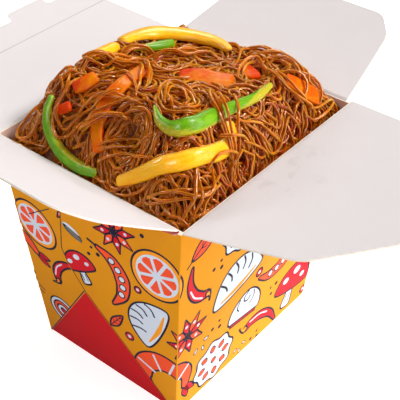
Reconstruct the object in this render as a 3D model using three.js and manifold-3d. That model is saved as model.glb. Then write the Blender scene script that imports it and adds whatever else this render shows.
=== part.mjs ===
// A folded-board noodle carton, open, with its four flaps laid back and a heap of fried
// glass noodles, pepper strips and carrot strips in it. Millimetres, +Z up. The origin is
// the centre of the carton's base, on the surface that it stands on. The wide front panel
// faces -Y, the lid is on the back panel at +Y, and the folded ends face -X and +X.

import * as THREE from 'three';
import * as BufferGeometryUtils from 'three/addons/utils/BufferGeometryUtils.js';
import Module from 'manifold-3d';

// Carton, measured over its outermost layer of board.
const HEIGHT = 100;
const RIM = { x: 101, y: 87 };
const BASE = { x: 87, y: 69 };
const BOARD = 0.6;
const WEB_LAYERS = 2;
const SPARE = 4;

// Folded corner webs on an end panel, as distances from the front edge of that end's middle:
// y towards the back panel, up along the slope.
const WEB_CROSSING = { y: 7.8, up: 41.3 };
const WEB_FRONT_EDGE = [[15, 52], [18, 59], [15.5, 70], [13, 91.5]];
const WEB_BACK_EDGE = [[-4, 53], [-10, 70], [-13, 91.5]];
const THUMB_CUT = { y: 9.4, up: 71.6, long: 5.4, wide: 2.1, tilt: 24, points: 14 };

// Top edge of a web: in from the carton's vertical corner, down from the rim.
const WEB_TOP_EDGE = [[18, 4.7], [2, 0.9]];

// Flaps. An outline is in [in from the crease's end, out from the crease], and raise is a
// flap's angle above level.
const HINGE_OUT = 0.4;
const HINGE_UP = 0.4;
const CREASE_GAP = 0.3;
const END_FLAP = { inset: 2, corner: [7, 37], tip: [15, 47], raiseLeft: 33, raiseRight: 15 };
const FRONT_FLAP = { inset: 0.6, corner: [8, 39.6], tip: [31, 61], point: [36, 64], raise: 7.5 };
const LID = { inset: 0.6, crease: 40, raise: 1 };
const TUCK = { corner: [3, 48], tip: [9.5, 56], tab: [20, 40.8], tabTip: [19, 38.8], reach: 62 };

// Heap of noodles.
const FOOD_GAP = 0.4;
const HEAP_EDGE_DROP = 4;
const HEAP_RISE = 24.3;
const HEAP_LEAN = 7.4;
const HEAP_SHOULDER = { left: 23.6, right: 14.5, front: 18, back: 16 };
const CORE_DEPTH = 1.2;
const CORE_RINGS = [1, 0.94, 0.86, 0.75, 0.6, 0.4, 0.2];
const CORE_SIDES = 32;

// Noodles over it. A lift is in noodle widths above the core.
const NOODLE = 2;
const NOODLE_SIDES = 5;
const NOODLE_STEP = 4.4;
const NOODLE_STEPS = 21;
const NOODLE_LEAST_STEPS = 7;
const NOODLE_COUNT = 50;
const NOODLE_STARTS = 24;
const NOODLE_TRIES = 1500;
const NOODLE_CROSSINGS = 4;
const NOODLE_SPACING = 2.5;
const NOODLE_RADIUS = { least: 9, most: 35 };
const NOODLE_TURN_CHANCE = 0.12;
const NOODLE_LIFT = { dip: 0.1, top: 0.55 };
const NOODLE_DIP_EVERY = 5;
const NOODLE_SEED = 20711;

// Vegetable strips: routes over the heap as [x, y], and the lift of the strip's middle.
const PEPPER_THICK = 3;
const CARROT_THICK = 2.6;
const STRIPS = [
  { name: 'green_pepper_1', width: 4.6, thick: 2.6, lift: 1.2, end: 0.45, colour: 0x6cc41e,
    route: [[-36.4, 25.4], [-40.2, 25], [-42.6, 22], [-44.4, 17.2], [-45.4, 11.6], [-45.7, 4], [-45.2, -4]] },
  { name: 'green_pepper_2', width: 6.2, thick: PEPPER_THICK, lift: 1.5, end: 0.3, colour: 0x74cc1c,
    route: [[-28.1, -14], [-32, -19.6], [-31.4, -26.4], [-20.5, -28.8], [-7.7, -29], [5, -29.4], [16.1, -28.2]] },
  { name: 'green_pepper_3', width: 4.2, thick: 2.6, lift: 1, end: 0.35, colour: 0x63b51d,
    route: [[-3.1, 21], [6.5, 17.6], [17.4, 14.9]] },
  { name: 'yellow_pepper_1', width: 7.6, thick: PEPPER_THICK, lift: 1.5, end: 0.6, colour: 0xf6b90e,
    route: [[-44.8, -12.5], [-42.8, -18.4], [-40.2, -24.4], [-36.2, -31], [-29.5, -34.4], [-22.4, -35], [-14.8, -34.6]] },
  { name: 'yellow_pepper_2', width: 6.6, thick: PEPPER_THICK, lift: 1.6, end: 0.5, colour: 0xf3ad0b,
    route: [[-0.5, 27], [8, 28], [17, 25.4], [23.4, 19.2], [27, 12], [28.2, 4], [25.4, -4.4]] },
  { name: 'yellow_pepper_3', width: 4.6, thick: 2.8, lift: 1, end: 0.5, colour: 0xf2bd2a,
    route: [[-18.8, 24.1], [-11.4, 25], [-4.6, 25.6]] },
  { name: 'carrot_1', width: 3.4, thick: 2.2, lift: 0.9, end: 0.8, colour: 0xe0571a,
    route: [[-38.8, 20.4], [-37.9, 18.4], [-36.7, 16]] },
  { name: 'carrot_2', width: 4.6, thick: CARROT_THICK, lift: 0.9, end: 0.8, colour: 0xe85f1c,
    route: [[-33.4, 18], [-30.9, 15], [-27, 13]] },
  { name: 'carrot_3', width: 5, thick: CARROT_THICK, lift: 0.9, end: 0.7, colour: 0xea6a25,
    route: [[-10.6, 5.4], [-18.2, 4.2], [-27, 2.3], [-35.7, 2.6], [-39.3, 1.1], [-42, -2.5]] },
  { name: 'carrot_4', width: 6.6, thick: CARROT_THICK, lift: 1, end: 0.6, colour: 0xea6018,
    route: [[-1.4, -3.3], [2.9, -12], [8, -21.3]] },
  { name: 'carrot_5', width: 6, thick: CARROT_THICK, lift: 0.9, end: 0.8, colour: 0xd9571b,
    route: [[20.4, -12.4], [17.8, -17.8], [14.9, -22.9]] },
  { name: 'carrot_6', width: 6.4, thick: CARROT_THICK, lift: 0.9, end: 0.7, colour: 0xec6a1b,
    route: [[24.4, -28.6], [30.5, -33.4], [37.4, -37.6]] },
];
const STRIP_CLEARANCE = 0.6;
const STRIP_STEPS = 12;
const PEPPER_SIDES = 8;
const PEPPER_BOW = 0.8;
const CARROT_SIDES = 6;

const COLOURS = { print: 0xf2b01e, inside: 0xece6e6, noodle: 0xa8601a };

const wasm = await Module();
wasm.setup();

const model = new THREE.Group();
const degrees = THREE.MathUtils.degToRad;

// Solids and meshes

function solid(geometry) {
  const bare = geometry.clone();
  bare.deleteAttribute('normal');
  bare.deleteAttribute('uv');
  const merged = BufferGeometryUtils.mergeVertices(bare, 1e-4);
  const corners = merged.getIndex().array;
  const triangles = [];
  for (let i = 0; i < corners.length; i += 3) {
    const [a, b, c] = corners.slice(i, i + 3);
    if (a !== b && b !== c && c !== a) triangles.push(a, b, c);
  }
  return new wasm.Manifold(new wasm.Mesh({
    numProp: 3,
    vertProperties: new Float32Array(merged.getAttribute('position').array),
    triVerts: new Uint32Array(triangles),
  }));
}

function geometryOf(body) {
  const made = body.getMesh();
  const geometry = new THREE.BufferGeometry();
  geometry.setAttribute('position', new THREE.BufferAttribute(made.vertProperties, 3));
  geometry.setIndex(new THREE.BufferAttribute(made.triVerts, 1));
  geometry.computeVertexNormals();
  return geometry;
}

// The outermost skin alone: small voids sealed between fused pieces are filled.
function largestBody(body) {
  return body.decompose().reduce((most, next) => (next.volume() > most.volume() ? next : most));
}

function addMesh(parent, name, geometry, colour, roughness) {
  const material = new THREE.MeshStandardMaterial({ color: colour, roughness, metalness: 0 });
  const mesh = new THREE.Mesh(geometry, material);
  mesh.name = name;
  parent.add(mesh);
}

function shapeOf(points) {
  return new THREE.Shape(points.map(([x, y]) => new THREE.Vector2(x, y)));
}

// Carton

// Half the carton's outer size at height z, less an inset.
function halfX(z, inset = 0) {
  return (BASE.x + (RIM.x - BASE.x) * z / HEIGHT) / 2 - inset;
}

function halfY(z, inset = 0) {
  return (BASE.y + (RIM.y - BASE.y) * z / HEIGHT) / 2 - inset;
}

// A box from low to high whose four sides follow the carton's slope, inset from its outside.
function slopedBox(low, high, insetX, insetY) {
  const geometry = new THREE.BoxGeometry(2, 2, 1);
  const position = geometry.getAttribute('position');
  for (let i = 0; i < position.count; i++) {
    const z = position.getZ(i) > 0 ? high : low;
    position.setXYZ(i, position.getX(i) * halfX(z, insetX), position.getY(i) * halfY(z, insetY), z);
  }
  return solid(geometry);
}

// A plate lying on the outside of an end panel: side is -1 for the left end, +1 for the right.
// Its outline is in [y, up], and it lies between two heights above the end panel.
function endPlate(side, outline, thickness) {
  const lean = Math.atan((RIM.x - BASE.x) / 2 / HEIGHT);
  const across = new THREE.Vector3(0, side, 0);
  const up = new THREE.Vector3(side * Math.sin(lean), 0, Math.cos(lean));
  const out = new THREE.Vector3().crossVectors(across, up);
  const inset = WEB_LAYERS * BOARD;
  const start = new THREE.Vector3(side * halfX(0), 0, 0).addScaledVector(out, -inset - BOARD / 2);
  const geometry = new THREE.ExtrudeGeometry(
    shapeOf(outline.map(([y, rise]) => [side * y, rise])),
    { depth: thickness + BOARD / 2, bevelEnabled: false },
  );
  geometry.applyMatrix4(new THREE.Matrix4().makeBasis(across, up, out).setPosition(start));
  return solid(geometry);
}

// One corner web: sign is -1 for the front panel's and +1 for the back panel's. The web fills
// the end from its vertical corner to its folded diagonal, then to its free edge.
function webOutline(sign, freeEdge) {
  const corner = BASE.y / 2;
  const wide = RIM.y / 2 + SPARE;
  return [
    [sign * wide, -SPARE],
    [sign * (corner + SPARE), -SPARE],
    [sign * corner, 0],
    [WEB_CROSSING.y, WEB_CROSSING.up],
    ...freeEdge,
    ...WEB_TOP_EDGE.map(([inset, drop]) => [sign * (RIM.y / 2 - inset), HEIGHT - drop]),
    [sign * RIM.y / 2, HEIGHT + SPARE],
    [sign * wide, HEIGHT + SPARE],
  ];
}

function thumbCut(side) {
  const outline = [];
  for (let i = 0; i < THUMB_CUT.points; i++) {
    const turn = 2 * Math.PI * i / THUMB_CUT.points;
    const long = THUMB_CUT.long * Math.cos(turn);
    const wide = THUMB_CUT.wide * Math.sin(turn);
    const tilt = degrees(THUMB_CUT.tilt);
    outline.push([
      THUMB_CUT.y + long * Math.cos(tilt) - wide * Math.sin(tilt),
      THUMB_CUT.up + long * Math.sin(tilt) + wide * Math.cos(tilt),
    ]);
  }
  const slot = endPlate(side, outline, 2 * BOARD * WEB_LAYERS);
  return slot.subtract(endPlate(side, webOutline(1, WEB_BACK_EDGE), BOARD));
}

function cartonSolid() {
  const layers = WEB_LAYERS * BOARD;
  let body = slopedBox(-SPARE, HEIGHT + SPARE, layers, -SPARE);
  for (const side of [-1, 1]) {
    body = body
      .add(endPlate(side, webOutline(1, WEB_BACK_EDGE), BOARD))
      .add(endPlate(side, webOutline(-1, WEB_FRONT_EDGE), layers));
  }
  body = body
    .intersect(slopedBox(0, HEIGHT, -SPARE, 0))
    .subtract(slopedBox(BOARD, HEIGHT + SPARE, layers + BOARD, BOARD));
  for (const side of [-1, 1]) {
    const panel = slopedBox(-SPARE, HEIGHT + SPARE, layers, -SPARE);
    body = body.subtract(thumbCut(side).subtract(panel));
  }
  return body;
}

// Flaps

// The crease of a flap: turn is the direction it opens in, from +Y, about the vertical.
function creaseGroup(turn, distance, raise) {
  const facing = new THREE.Group();
  facing.rotation.z = degrees(turn);
  const crease = new THREE.Group();
  crease.position.set(0, distance + HINGE_OUT, HEIGHT + HINGE_UP);
  crease.rotation.x = degrees(raise);
  facing.add(crease);
  model.add(facing);
  return crease;
}

// A plate whose outline is given for one half, as [distance in from the crease's end, reach].
function flapGeometry(half, outline) {
  const right = outline.map(([inset, reach]) => [half - inset, reach]);
  const left = right.map(([along, reach]) => [-along, reach]).reverse();
  const geometry = new THREE.ExtrudeGeometry(
    shapeOf([...right, ...left]),
    { depth: BOARD, bevelEnabled: false },
  );
  return geometry.translate(0, 0, -BOARD / 2);
}

function addEndFlap(name, turn, raise) {
  const crease = creaseGroup(turn, RIM.x / 2 - WEB_LAYERS * BOARD, raise);
  const { inset, corner, tip } = END_FLAP;
  const geometry = flapGeometry(RIM.y / 2, [[inset, CREASE_GAP], corner, tip]);
  addMesh(crease, name, geometry, COLOURS.inside, 0.8);
}

function addFrontFlap() {
  const crease = creaseGroup(180, RIM.y / 2, FRONT_FLAP.raise);
  const { inset, corner, tip, point } = FRONT_FLAP;
  const geometry = flapGeometry(RIM.x / 2, [[inset, CREASE_GAP], corner, tip, point]);
  addMesh(crease, 'front_flap', geometry, COLOURS.inside, 0.8);
}

function addLid() {
  const crease = creaseGroup(0, RIM.y / 2, LID.raise);
  const { inset, crease: reach } = LID;
  const panel = [[inset, CREASE_GAP], [inset, reach - CREASE_GAP]];
  addMesh(crease, 'lid', flapGeometry(RIM.x / 2, panel), COLOURS.inside, 0.8);
  const tuck = [
    [inset + CREASE_GAP, reach + CREASE_GAP],
    TUCK.corner,
    TUCK.tip,
    [TUCK.tab[0], TUCK.tip[1]],
    [TUCK.tabTip[0], TUCK.reach],
    [TUCK.tabTip[1], TUCK.reach],
    [TUCK.tab[1], TUCK.tip[1]],
  ];
  addMesh(crease, 'lid_tuck', flapGeometry(RIM.x / 2, tuck), COLOURS.inside, 0.8);
}

// Heap

const foodHalf = {
  x: halfX(HEIGHT, (WEB_LAYERS + 1) * BOARD + FOOD_GAP),
  y: halfY(HEIGHT, BOARD + FOOD_GAP),
};

// Rises from 0 at a wall to 1 at the shoulder's width from it.
function shoulder(distance, width) {
  return Math.sin(Math.PI / 2 * THREE.MathUtils.clamp(distance / width, 0, 1));
}

// Height of the heap's surface at a place inside the rim.
function heapTop(x, y) {
  const rise = HEAP_RISE - HEAP_LEAN * x / foodHalf.x;
  return HEIGHT - HEAP_EDGE_DROP + rise
    * shoulder(foodHalf.x + x, HEAP_SHOULDER.left) * shoulder(foodHalf.x - x, HEAP_SHOULDER.right)
    * shoulder(foodHalf.y + y, HEAP_SHOULDER.front) * shoulder(foodHalf.y - y, HEAP_SHOULDER.back);
}

function heapNormal(x, y) {
  const reach = 1.5;
  const slopeX = (heapTop(x + reach, y) - heapTop(x - reach, y)) / (2 * reach);
  const slopeY = (heapTop(x, y + reach) - heapTop(x, y - reach)) / (2 * reach);
  return new THREE.Vector3(-slopeX, -slopeY, 1).normalize();
}

// The core: rings of a lathe, squared to the carton's inside and raised to the heap's form.
function coreSolid() {
  const floor = BOARD + FOOD_GAP;
  const edge = HEIGHT - HEAP_EDGE_DROP - CORE_DEPTH;
  const profile = [new THREE.Vector2(0, floor), new THREE.Vector2(1, floor)];
  for (const ring of CORE_RINGS) profile.push(new THREE.Vector2(ring, HEIGHT));
  profile.push(new THREE.Vector2(0, HEIGHT));
  const geometry = new THREE.LatheGeometry(profile, CORE_SIDES);
  geometry.rotateX(Math.PI / 2);
  const position = geometry.getAttribute('position');
  for (let i = 0; i < position.count; i++) {
    const x = position.getX(i);
    const y = position.getY(i);
    const radius = Math.hypot(x, y);
    const square = radius > 1e-6 ? radius / Math.max(Math.abs(x), Math.abs(y)) : 0;
    const top = position.getZ(i) > floor + 1;
    const level = top ? edge : floor;
    const wide = halfX(level, (WEB_LAYERS + 1) * BOARD + FOOD_GAP) * x * square;
    const deep = halfY(level, BOARD + FOOD_GAP) * y * square;
    position.setXYZ(i, wide, deep, top ? heapTop(wide, deep) - CORE_DEPTH : floor);
  }
  return solid(geometry);
}

// A round or flat strip: a capped cylinder whose rings are laid across a route over the heap.
// end is its width at the tips as a share of its full width, and bow lowers its two sides.
function stripSolid(route, width, thick, sides, steps, end = 1, bow = 0) {
  const geometry = new THREE.CylinderGeometry(1, 1, 1, sides, steps);
  const position = geometry.getAttribute('position');
  const tangent = new THREE.Vector3();
  for (let i = 0; i < position.count; i++) {
    const along = position.getY(i) + 0.5;
    const centre = route.getPointAt(along);
    route.getTangentAt(along, tangent);
    const across = new THREE.Vector3().crossVectors(tangent, heapNormal(centre.x, centre.y)).normalize();
    const out = new THREE.Vector3().crossVectors(across, tangent);
    const taper = end + (1 - end) * Math.sqrt(Math.sin(Math.PI * along));
    const aside = position.getX(i);
    const rise = taper * (position.getZ(i) * thick / 2 - bow * aside * aside);
    centre.addScaledVector(across, aside * taper * width / 2).addScaledVector(out, rise);
    position.setXYZ(i, centre.x, centre.y, centre.z);
  }
  return solid(geometry);
}

// The place at a height off the heap's surface, square to it.
function overHeap(x, y, surfaceDrop, lift) {
  return new THREE.Vector3(x, y, heapTop(x, y) - surfaceDrop).addScaledVector(heapNormal(x, y), lift);
}

function stripRoute(strip) {
  return new THREE.CatmullRomCurve3(strip.route.map(([x, y]) => overHeap(x, y, 0, strip.lift)));
}

function vegetableSolid(strip) {
  const pepper = strip.name.includes('pepper');
  const sides = pepper ? PEPPER_SIDES : CARROT_SIDES;
  const bow = pepper ? PEPPER_BOW : 0;
  return stripSolid(stripRoute(strip), strip.width, strip.thick, sides, STRIP_STEPS, strip.end, bow);
}

// Evenly spread numbers from a seed.
function randomNumbers(seed) {
  let state = seed;
  return () => {
    state = (state + 0x6D2B79F5) | 0;
    let mixed = Math.imul(state ^ (state >>> 15), 1 | state);
    mixed = (mixed + Math.imul(mixed ^ (mixed >>> 7), 61 | mixed)) ^ mixed;
    return ((mixed ^ (mixed >>> 14)) >>> 0) / 4294967296;
  };
}

function isNear(point, places, clear) {
  return places.some((place) => Math.hypot(place.x - point.x, place.y - point.y) < clear + place.half);
}

function leastDistance(point, places) {
  return Math.min(...places.map((place) => Math.hypot(place.x - point.x, place.y - point.y)));
}

// Of several places within the walls, the barest one.
function barePlace(random, limit, laid) {
  let barest = null;
  for (let i = 0; i < NOODLE_STARTS; i++) {
    const place = { x: (2 * random() - 1) * limit.x, y: (2 * random() - 1) * limit.y };
    if (!barest || leastDistance(place, laid) > leastDistance(barest, laid)) barest = place;
  }
  return barest;
}

// One wandering path in plan, in even steps of a slowly changing bend. It turns back at the
// walls, and ends before a vegetable or when it has crossed enough other noodles.
function noodlePath(random, vegetables, laid) {
  const limit = { x: foodHalf.x - NOODLE, y: foodHalf.y - NOODLE };
  const point = barePlace(random, limit, [...vegetables, ...laid]);
  const path = [];
  let heading = 2 * Math.PI * random();
  let bend = random() < 0.5 ? -1 : 1;
  bend /= THREE.MathUtils.lerp(NOODLE_RADIUS.least, NOODLE_RADIUS.most, random());
  let crossings = 0;
  while (path.length <= NOODLE_STEPS && !isNear(point, vegetables, STRIP_CLEARANCE + NOODLE / 2)) {
    if (isNear(point, laid, NOODLE_SPACING)) crossings++;
    if (crossings > NOODLE_CROSSINGS) break;
    path.push({ ...point });
    if (random() < NOODLE_TURN_CHANCE) bend = -bend;
    heading += bend * NOODLE_STEP;
    if (Math.abs(point.x + NOODLE_STEP * Math.cos(heading)) > limit.x) heading = Math.PI - heading;
    if (Math.abs(point.y + NOODLE_STEP * Math.sin(heading)) > limit.y) heading = -heading;
    point.x = THREE.MathUtils.clamp(point.x + NOODLE_STEP * Math.cos(heading), -limit.x, limit.x);
    point.y = THREE.MathUtils.clamp(point.y + NOODLE_STEP * Math.sin(heading), -limit.y, limit.y);
  }
  return path;
}

// Noodles lie on the core, and dip into it at their ends and now and then between.
function noodleRoutes() {
  const random = randomNumbers(NOODLE_SEED);
  const vegetables = STRIPS.flatMap((strip) => stripRoute(strip).getSpacedPoints(2 * STRIP_STEPS).map(
    (point) => ({ x: point.x, y: point.y, half: strip.width / 2 }),
  ));
  const laid = [];
  const routes = [];
  for (let tries = 0; routes.length < NOODLE_COUNT && tries < NOODLE_TRIES; tries++) {
    const path = noodlePath(random, vegetables, laid);
    if (path.length <= NOODLE_LEAST_STEPS) continue;
    routes.push(new THREE.CatmullRomCurve3(path.map(({ x, y }, i) => {
      const dips = i % NOODLE_DIP_EVERY === 0 || i === path.length - 1;
      return overHeap(x, y, CORE_DEPTH, (dips ? NOODLE_LIFT.dip : NOODLE_LIFT.top) * NOODLE);
    })));
    laid.push(...path.map(({ x, y }) => ({ x, y, half: 0 })));
  }
  return routes;
}

function noodlesSolid() {
  let heap = coreSolid();
  for (const route of noodleRoutes()) {
    const steps = Math.round(route.getLength() / NOODLE_STEP);
    heap = heap.add(stripSolid(route, NOODLE, NOODLE, NOODLE_SIDES, steps));
  }
  return largestBody(heap);
}

addMesh(model, 'carton', geometryOf(cartonSolid()), COLOURS.print, 0.55);
addEndFlap('left_flap', 90, END_FLAP.raiseLeft);
addEndFlap('right_flap', -90, END_FLAP.raiseRight);
addFrontFlap();
addLid();
addMesh(model, 'noodles', geometryOf(noodlesSolid()), COLOURS.noodle, 0.35);
for (const strip of STRIPS) {
  addMesh(model, strip.name, geometryOf(vegetableSolid(strip)), strip.colour, 0.35);
}

export default model;
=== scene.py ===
"""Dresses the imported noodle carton: printed board, creased flaps, glass noodles, pepper and carrot strips."""

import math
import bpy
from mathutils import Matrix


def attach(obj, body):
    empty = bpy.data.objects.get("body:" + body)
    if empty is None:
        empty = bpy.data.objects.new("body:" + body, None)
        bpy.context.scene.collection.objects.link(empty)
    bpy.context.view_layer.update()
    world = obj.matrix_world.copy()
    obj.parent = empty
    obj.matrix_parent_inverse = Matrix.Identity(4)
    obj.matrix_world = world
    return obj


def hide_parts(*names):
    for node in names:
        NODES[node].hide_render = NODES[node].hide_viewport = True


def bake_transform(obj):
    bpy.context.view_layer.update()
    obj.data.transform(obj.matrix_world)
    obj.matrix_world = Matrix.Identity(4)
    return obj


bl_info = {
    "name": "Noodle takeaway box",
    "version": (1, 0, 0),
    "blender": (4, 5, 0),
    "location": "3D View > Sidebar > Noodle Box",
    "description": "Builds the board, print, noodles and vegetables of an open noodle carton",
    "category": "Object",
}

import bmesh
import bpy
import numpy as np
from bpy.props import FloatProperty, FloatVectorProperty, IntProperty, PointerProperty
from bpy.types import Operator, Panel, PropertyGroup
from mathutils import Matrix, Vector

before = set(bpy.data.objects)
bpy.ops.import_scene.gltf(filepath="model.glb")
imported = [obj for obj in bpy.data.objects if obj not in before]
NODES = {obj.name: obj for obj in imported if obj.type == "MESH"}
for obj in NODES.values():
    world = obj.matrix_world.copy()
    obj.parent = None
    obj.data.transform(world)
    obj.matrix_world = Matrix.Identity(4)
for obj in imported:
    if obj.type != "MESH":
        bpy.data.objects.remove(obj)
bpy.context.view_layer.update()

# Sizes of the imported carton, in millimetres.
MM = 0.001
HEIGHT = 100.0
RIM = (101.0, 87.0)
BASE = (87.0, 69.0)
BOARD = 0.6
WEB_INSET = 1.2
HINGE = 0.4
FLAPS = {
    "left_flap": {"turn": 90, "out": RIM[0] / 2 - WEB_INSET, "raise": 33},
    "right_flap": {"turn": -90, "out": RIM[0] / 2 - WEB_INSET, "raise": 15},
    "front_flap": {"turn": 180, "out": RIM[1] / 2, "raise": 7.5},
    "lid": {"turn": 0, "out": RIM[1] / 2, "raise": 1},
}

# The heap's surface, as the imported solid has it.
FOOD = (RIM[0] / 2 - 2.2, RIM[1] / 2 - 1.0)
HEAP_EDGE_DROP = 4.0
HEAP_RISE = 24.3
HEAP_LEAN = 7.4
HEAP_SHOULDER = {"left": 23.6, "right": 14.5, "front": 18.0, "back": 16.0}
WALL_CLEARANCE = 0.1


def srgb(red, green, blue):
    """A colour of 0 to 255 display values, as the linear values that shaders take."""
    def linear(value):
        value /= 255
        return value / 12.92 if value <= 0.04045 else ((value + 0.055) / 1.055) ** 2.4
    return tuple(linear(value) for value in (red, green, blue))


def colour(name, description, default):
    return FloatVectorProperty(name=name, description=description, subtype="COLOR", size=3,
                               min=0, max=1, default=default)


def length(name, description, default):
    return FloatProperty(name=name, description=description, subtype="DISTANCE", unit="LENGTH",
                         min=0, default=default, precision=5)


def quantity(name, description, default):
    return FloatProperty(name=name, description=description, min=0, default=default)


# Settings


class BoardSettings(PropertyGroup):
    outside: colour("Outside", "Colour printed over the carton's outside", srgb(224, 148, 0))
    end_panel: colour("End panels", "Colour printed on the folded ends and their flaps", srgb(212, 8, 26))
    inside: colour("Inside", "Colour of the uncoated inside of the board", srgb(212, 205, 204))
    cut: colour("Cut edge", "Colour of the board where it is cut", srgb(232, 222, 206))
    stain: colour("Sauce stain", "Colour that sauce leaves on the inside near the rim", srgb(244, 166, 118))
    curl: length("Flap curl", "How far a flap's free edge bends up out of flat", 0.0012)


class PrintSettings(PropertyGroup):
    line: length("Line width", "Width of the dark line round each printed shape", 0.0009)
    dark: colour("Line ink", "Colour of the lines", srgb(20, 22, 50))
    red: colour("Red ink", "Red of the printed shapes", srgb(214, 12, 34))
    coral: colour("Coral ink", "Coral of the printed shapes", srgb(246, 84, 40))
    pale: colour("Pale ink", "Pale blue white of the printed shapes", srgb(212, 224, 238))
    yolk: colour("Orange ink", "Orange yellow of the printed shapes", srgb(250, 160, 30))
    # Painted shade: the dark board printed into the finger cuts.
    shade: colour("Cut shade", "Shaded board seen through the finger cuts", srgb(112, 112, 108))


class NoodleSettings(PropertyGroup):
    thickness: length("Thickness", "Diameter of one noodle", 0.00108)
    cover: FloatProperty(name="Cover", min=-2, max=3, default=0.9,
                         description="How high the strands fill up, in millimetres over the heap")
    seed: IntProperty(name="Seed", description="Seed of the tangle", min=0, default=11)
    light: colour("Top strands", "Colour of the strands that lie on top", srgb(252, 138, 8))
    # Painted shade: strands deeper in the tangle are painted darker and redder.
    deep: colour("Deep strands", "Colour of the strands deep in the tangle", srgb(204, 48, 0))
    # Painted shade: the dark painted into each strand's middle and onto the core.
    gap: colour("Gaps", "Colour seen between the strands", srgb(98, 24, 2))
    # Painted highlight: the colour painted along each strand's edges, as seen from the camera.
    rim: colour("Strand edges", "Colour that light takes along a strand's edges", srgb(255, 190, 38))


class VegetableSettings(PropertyGroup):
    green: colour("Green pepper", "Colour of the green pepper's skin", srgb(116, 172, 2))
    yellow: colour("Yellow pepper", "Colour of the yellow pepper's skin", srgb(248, 164, 0))
    carrot: colour("Carrot", "Colour of the carrot strips", srgb(208, 110, 0))


class StageSettings(PropertyGroup):
    floor: colour("Floor", "Colour of the floor", srgb(250, 250, 250))
    sun: quantity("Key light", "Strength of the main light", 3.4)
    sky: quantity("Sky", "Strength of the light from all round", 0.13)
    front: quantity("Front light", "Power of the soft light before the front panel, in watts", 5.0)
    glint: quantity("Glints", "Power of the small lamps that make wet food shine, in watts", 0.7)
    shine: quantity("Shine", "Power of the large lamps that only wet surfaces mirror, in watts", 2.2)


# Shaders


class Graph:
    """A shader tree that nodes are added to with their sockets set or wired in one call."""

    def __init__(self, tree):
        self.tree = tree

    def add(self, kind, sockets=None, **settings):
        node = self.tree.nodes.new(kind)
        for name, value in settings.items():
            setattr(node, name, value)
        for name, value in (sockets or {}).items():
            if isinstance(value, bpy.types.NodeSocket):
                self.tree.links.new(value, node.inputs[name])
            else:
                node.inputs[name].default_value = value
        return node

    def value(self, operation, *terms, clamp=False):
        node = self.add("ShaderNodeMath", dict(enumerate(terms)), operation=operation, use_clamp=clamp)
        return node.outputs[0]

    def ramp(self, value, low, high, start=0.0, end=1.0):
        node = self.add("ShaderNodeMapRange", {"Value": value, "From Min": low, "From Max": high,
                                               "To Min": start, "To Max": end},
                        interpolation_type="SMOOTHSTEP")
        return node.outputs["Result"]

    def mix(self, share, first, second, blend="MIX"):
        node = self.add("ShaderNodeMix", {"Factor": share}, data_type="RGBA", blend_type=blend)
        for index, value in ((6, first), (7, second)):
            if isinstance(value, bpy.types.NodeSocket):
                self.tree.links.new(value, node.inputs[index])
            else:
                node.inputs[index].default_value = (*value, 1)
        return node.outputs[2]

    def tinted(self, base, tone):
        """A colour multiplied by a tone that varies over the surface."""
        grey = self.add("ShaderNodeCombineColor", {"Red": tone, "Green": tone, "Blue": tone})
        return self.mix(1.0, base, grey.outputs["Color"], "MULTIPLY")

    def swing(self, noise, size):
        """A noise moved to lie evenly about nought, and scaled."""
        return self.value("MULTIPLY", self.value("SUBTRACT", noise, 0.5), size)

    def total(self, first, share, second, other_share):
        """Two values added up, each at its own share."""
        return self.value("ADD", self.value("MULTIPLY", first, share),
                          self.value("MULTIPLY", second, other_share))

    def noise(self, vector, scale, detail=3.0, roughness=0.55):
        node = self.add("ShaderNodeTexNoise", {"Vector": vector, "Scale": scale, "Detail": detail,
                                               "Roughness": roughness})
        return node.outputs["Fac"]

    def place(self):
        return self.add("ShaderNodeTexCoord").outputs["Object"]

    def attribute(self, name):
        return self.add("ShaderNodeAttribute", attribute_name=name).outputs["Fac"]

    def bump(self, height, strength, distance):
        node = self.add("ShaderNodeBump", {"Height": height, "Strength": strength, "Distance": distance})
        return node.outputs["Normal"]


def shader_group(name, inputs, outputs):
    """An empty node group with float inputs and outputs, its graph, and its end nodes."""
    tree = bpy.data.node_groups.new(name, "ShaderNodeTree")
    for label, default in inputs:
        socket = tree.interface.new_socket(label, in_out="INPUT", socket_type="NodeSocketFloat")
        socket.default_value = default
    for label in outputs:
        tree.interface.new_socket(label, in_out="OUTPUT", socket_type="NodeSocketFloat")
    graph = Graph(tree)
    return tree, graph, graph.add("NodeGroupInput").outputs, graph.add("NodeGroupOutput")


def use_group(graph, name, **sockets):
    node = graph.add("ShaderNodeGroup", node_tree=bpy.data.node_groups[name])
    for label, value in sockets.items():
        socket = node.inputs[label.replace("_", " ")]
        if isinstance(value, bpy.types.NodeSocket):
            graph.tree.links.new(value, socket)
        else:
            socket.default_value = value
    return node.outputs


def make_paper_group():
    """Fibres and mottling of the board: a tone near 1, and a height for its bump."""
    tree, graph, given, out = shader_group("Board fibre", [("Mottle", 0.05)], ["Tone", "Height"])
    place = graph.place()
    coarse = graph.noise(place, 90.0, 4.0)
    fine = graph.noise(place, 2600.0, 2.0, 0.7)
    stretched = graph.add("ShaderNodeMapping", {"Vector": place, "Scale": (1.0, 6.0, 6.0)})
    fibre = graph.noise(stretched.outputs["Vector"], 900.0, 2.0)
    swing = graph.swing(graph.total(coarse, 0.7, fibre, 0.3), given["Mottle"])
    tree.links.new(graph.value("ADD", 1.0, swing), out.inputs["Tone"])
    tree.links.new(graph.total(fine, 0.5, fibre, 0.5), out.inputs["Height"])


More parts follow.
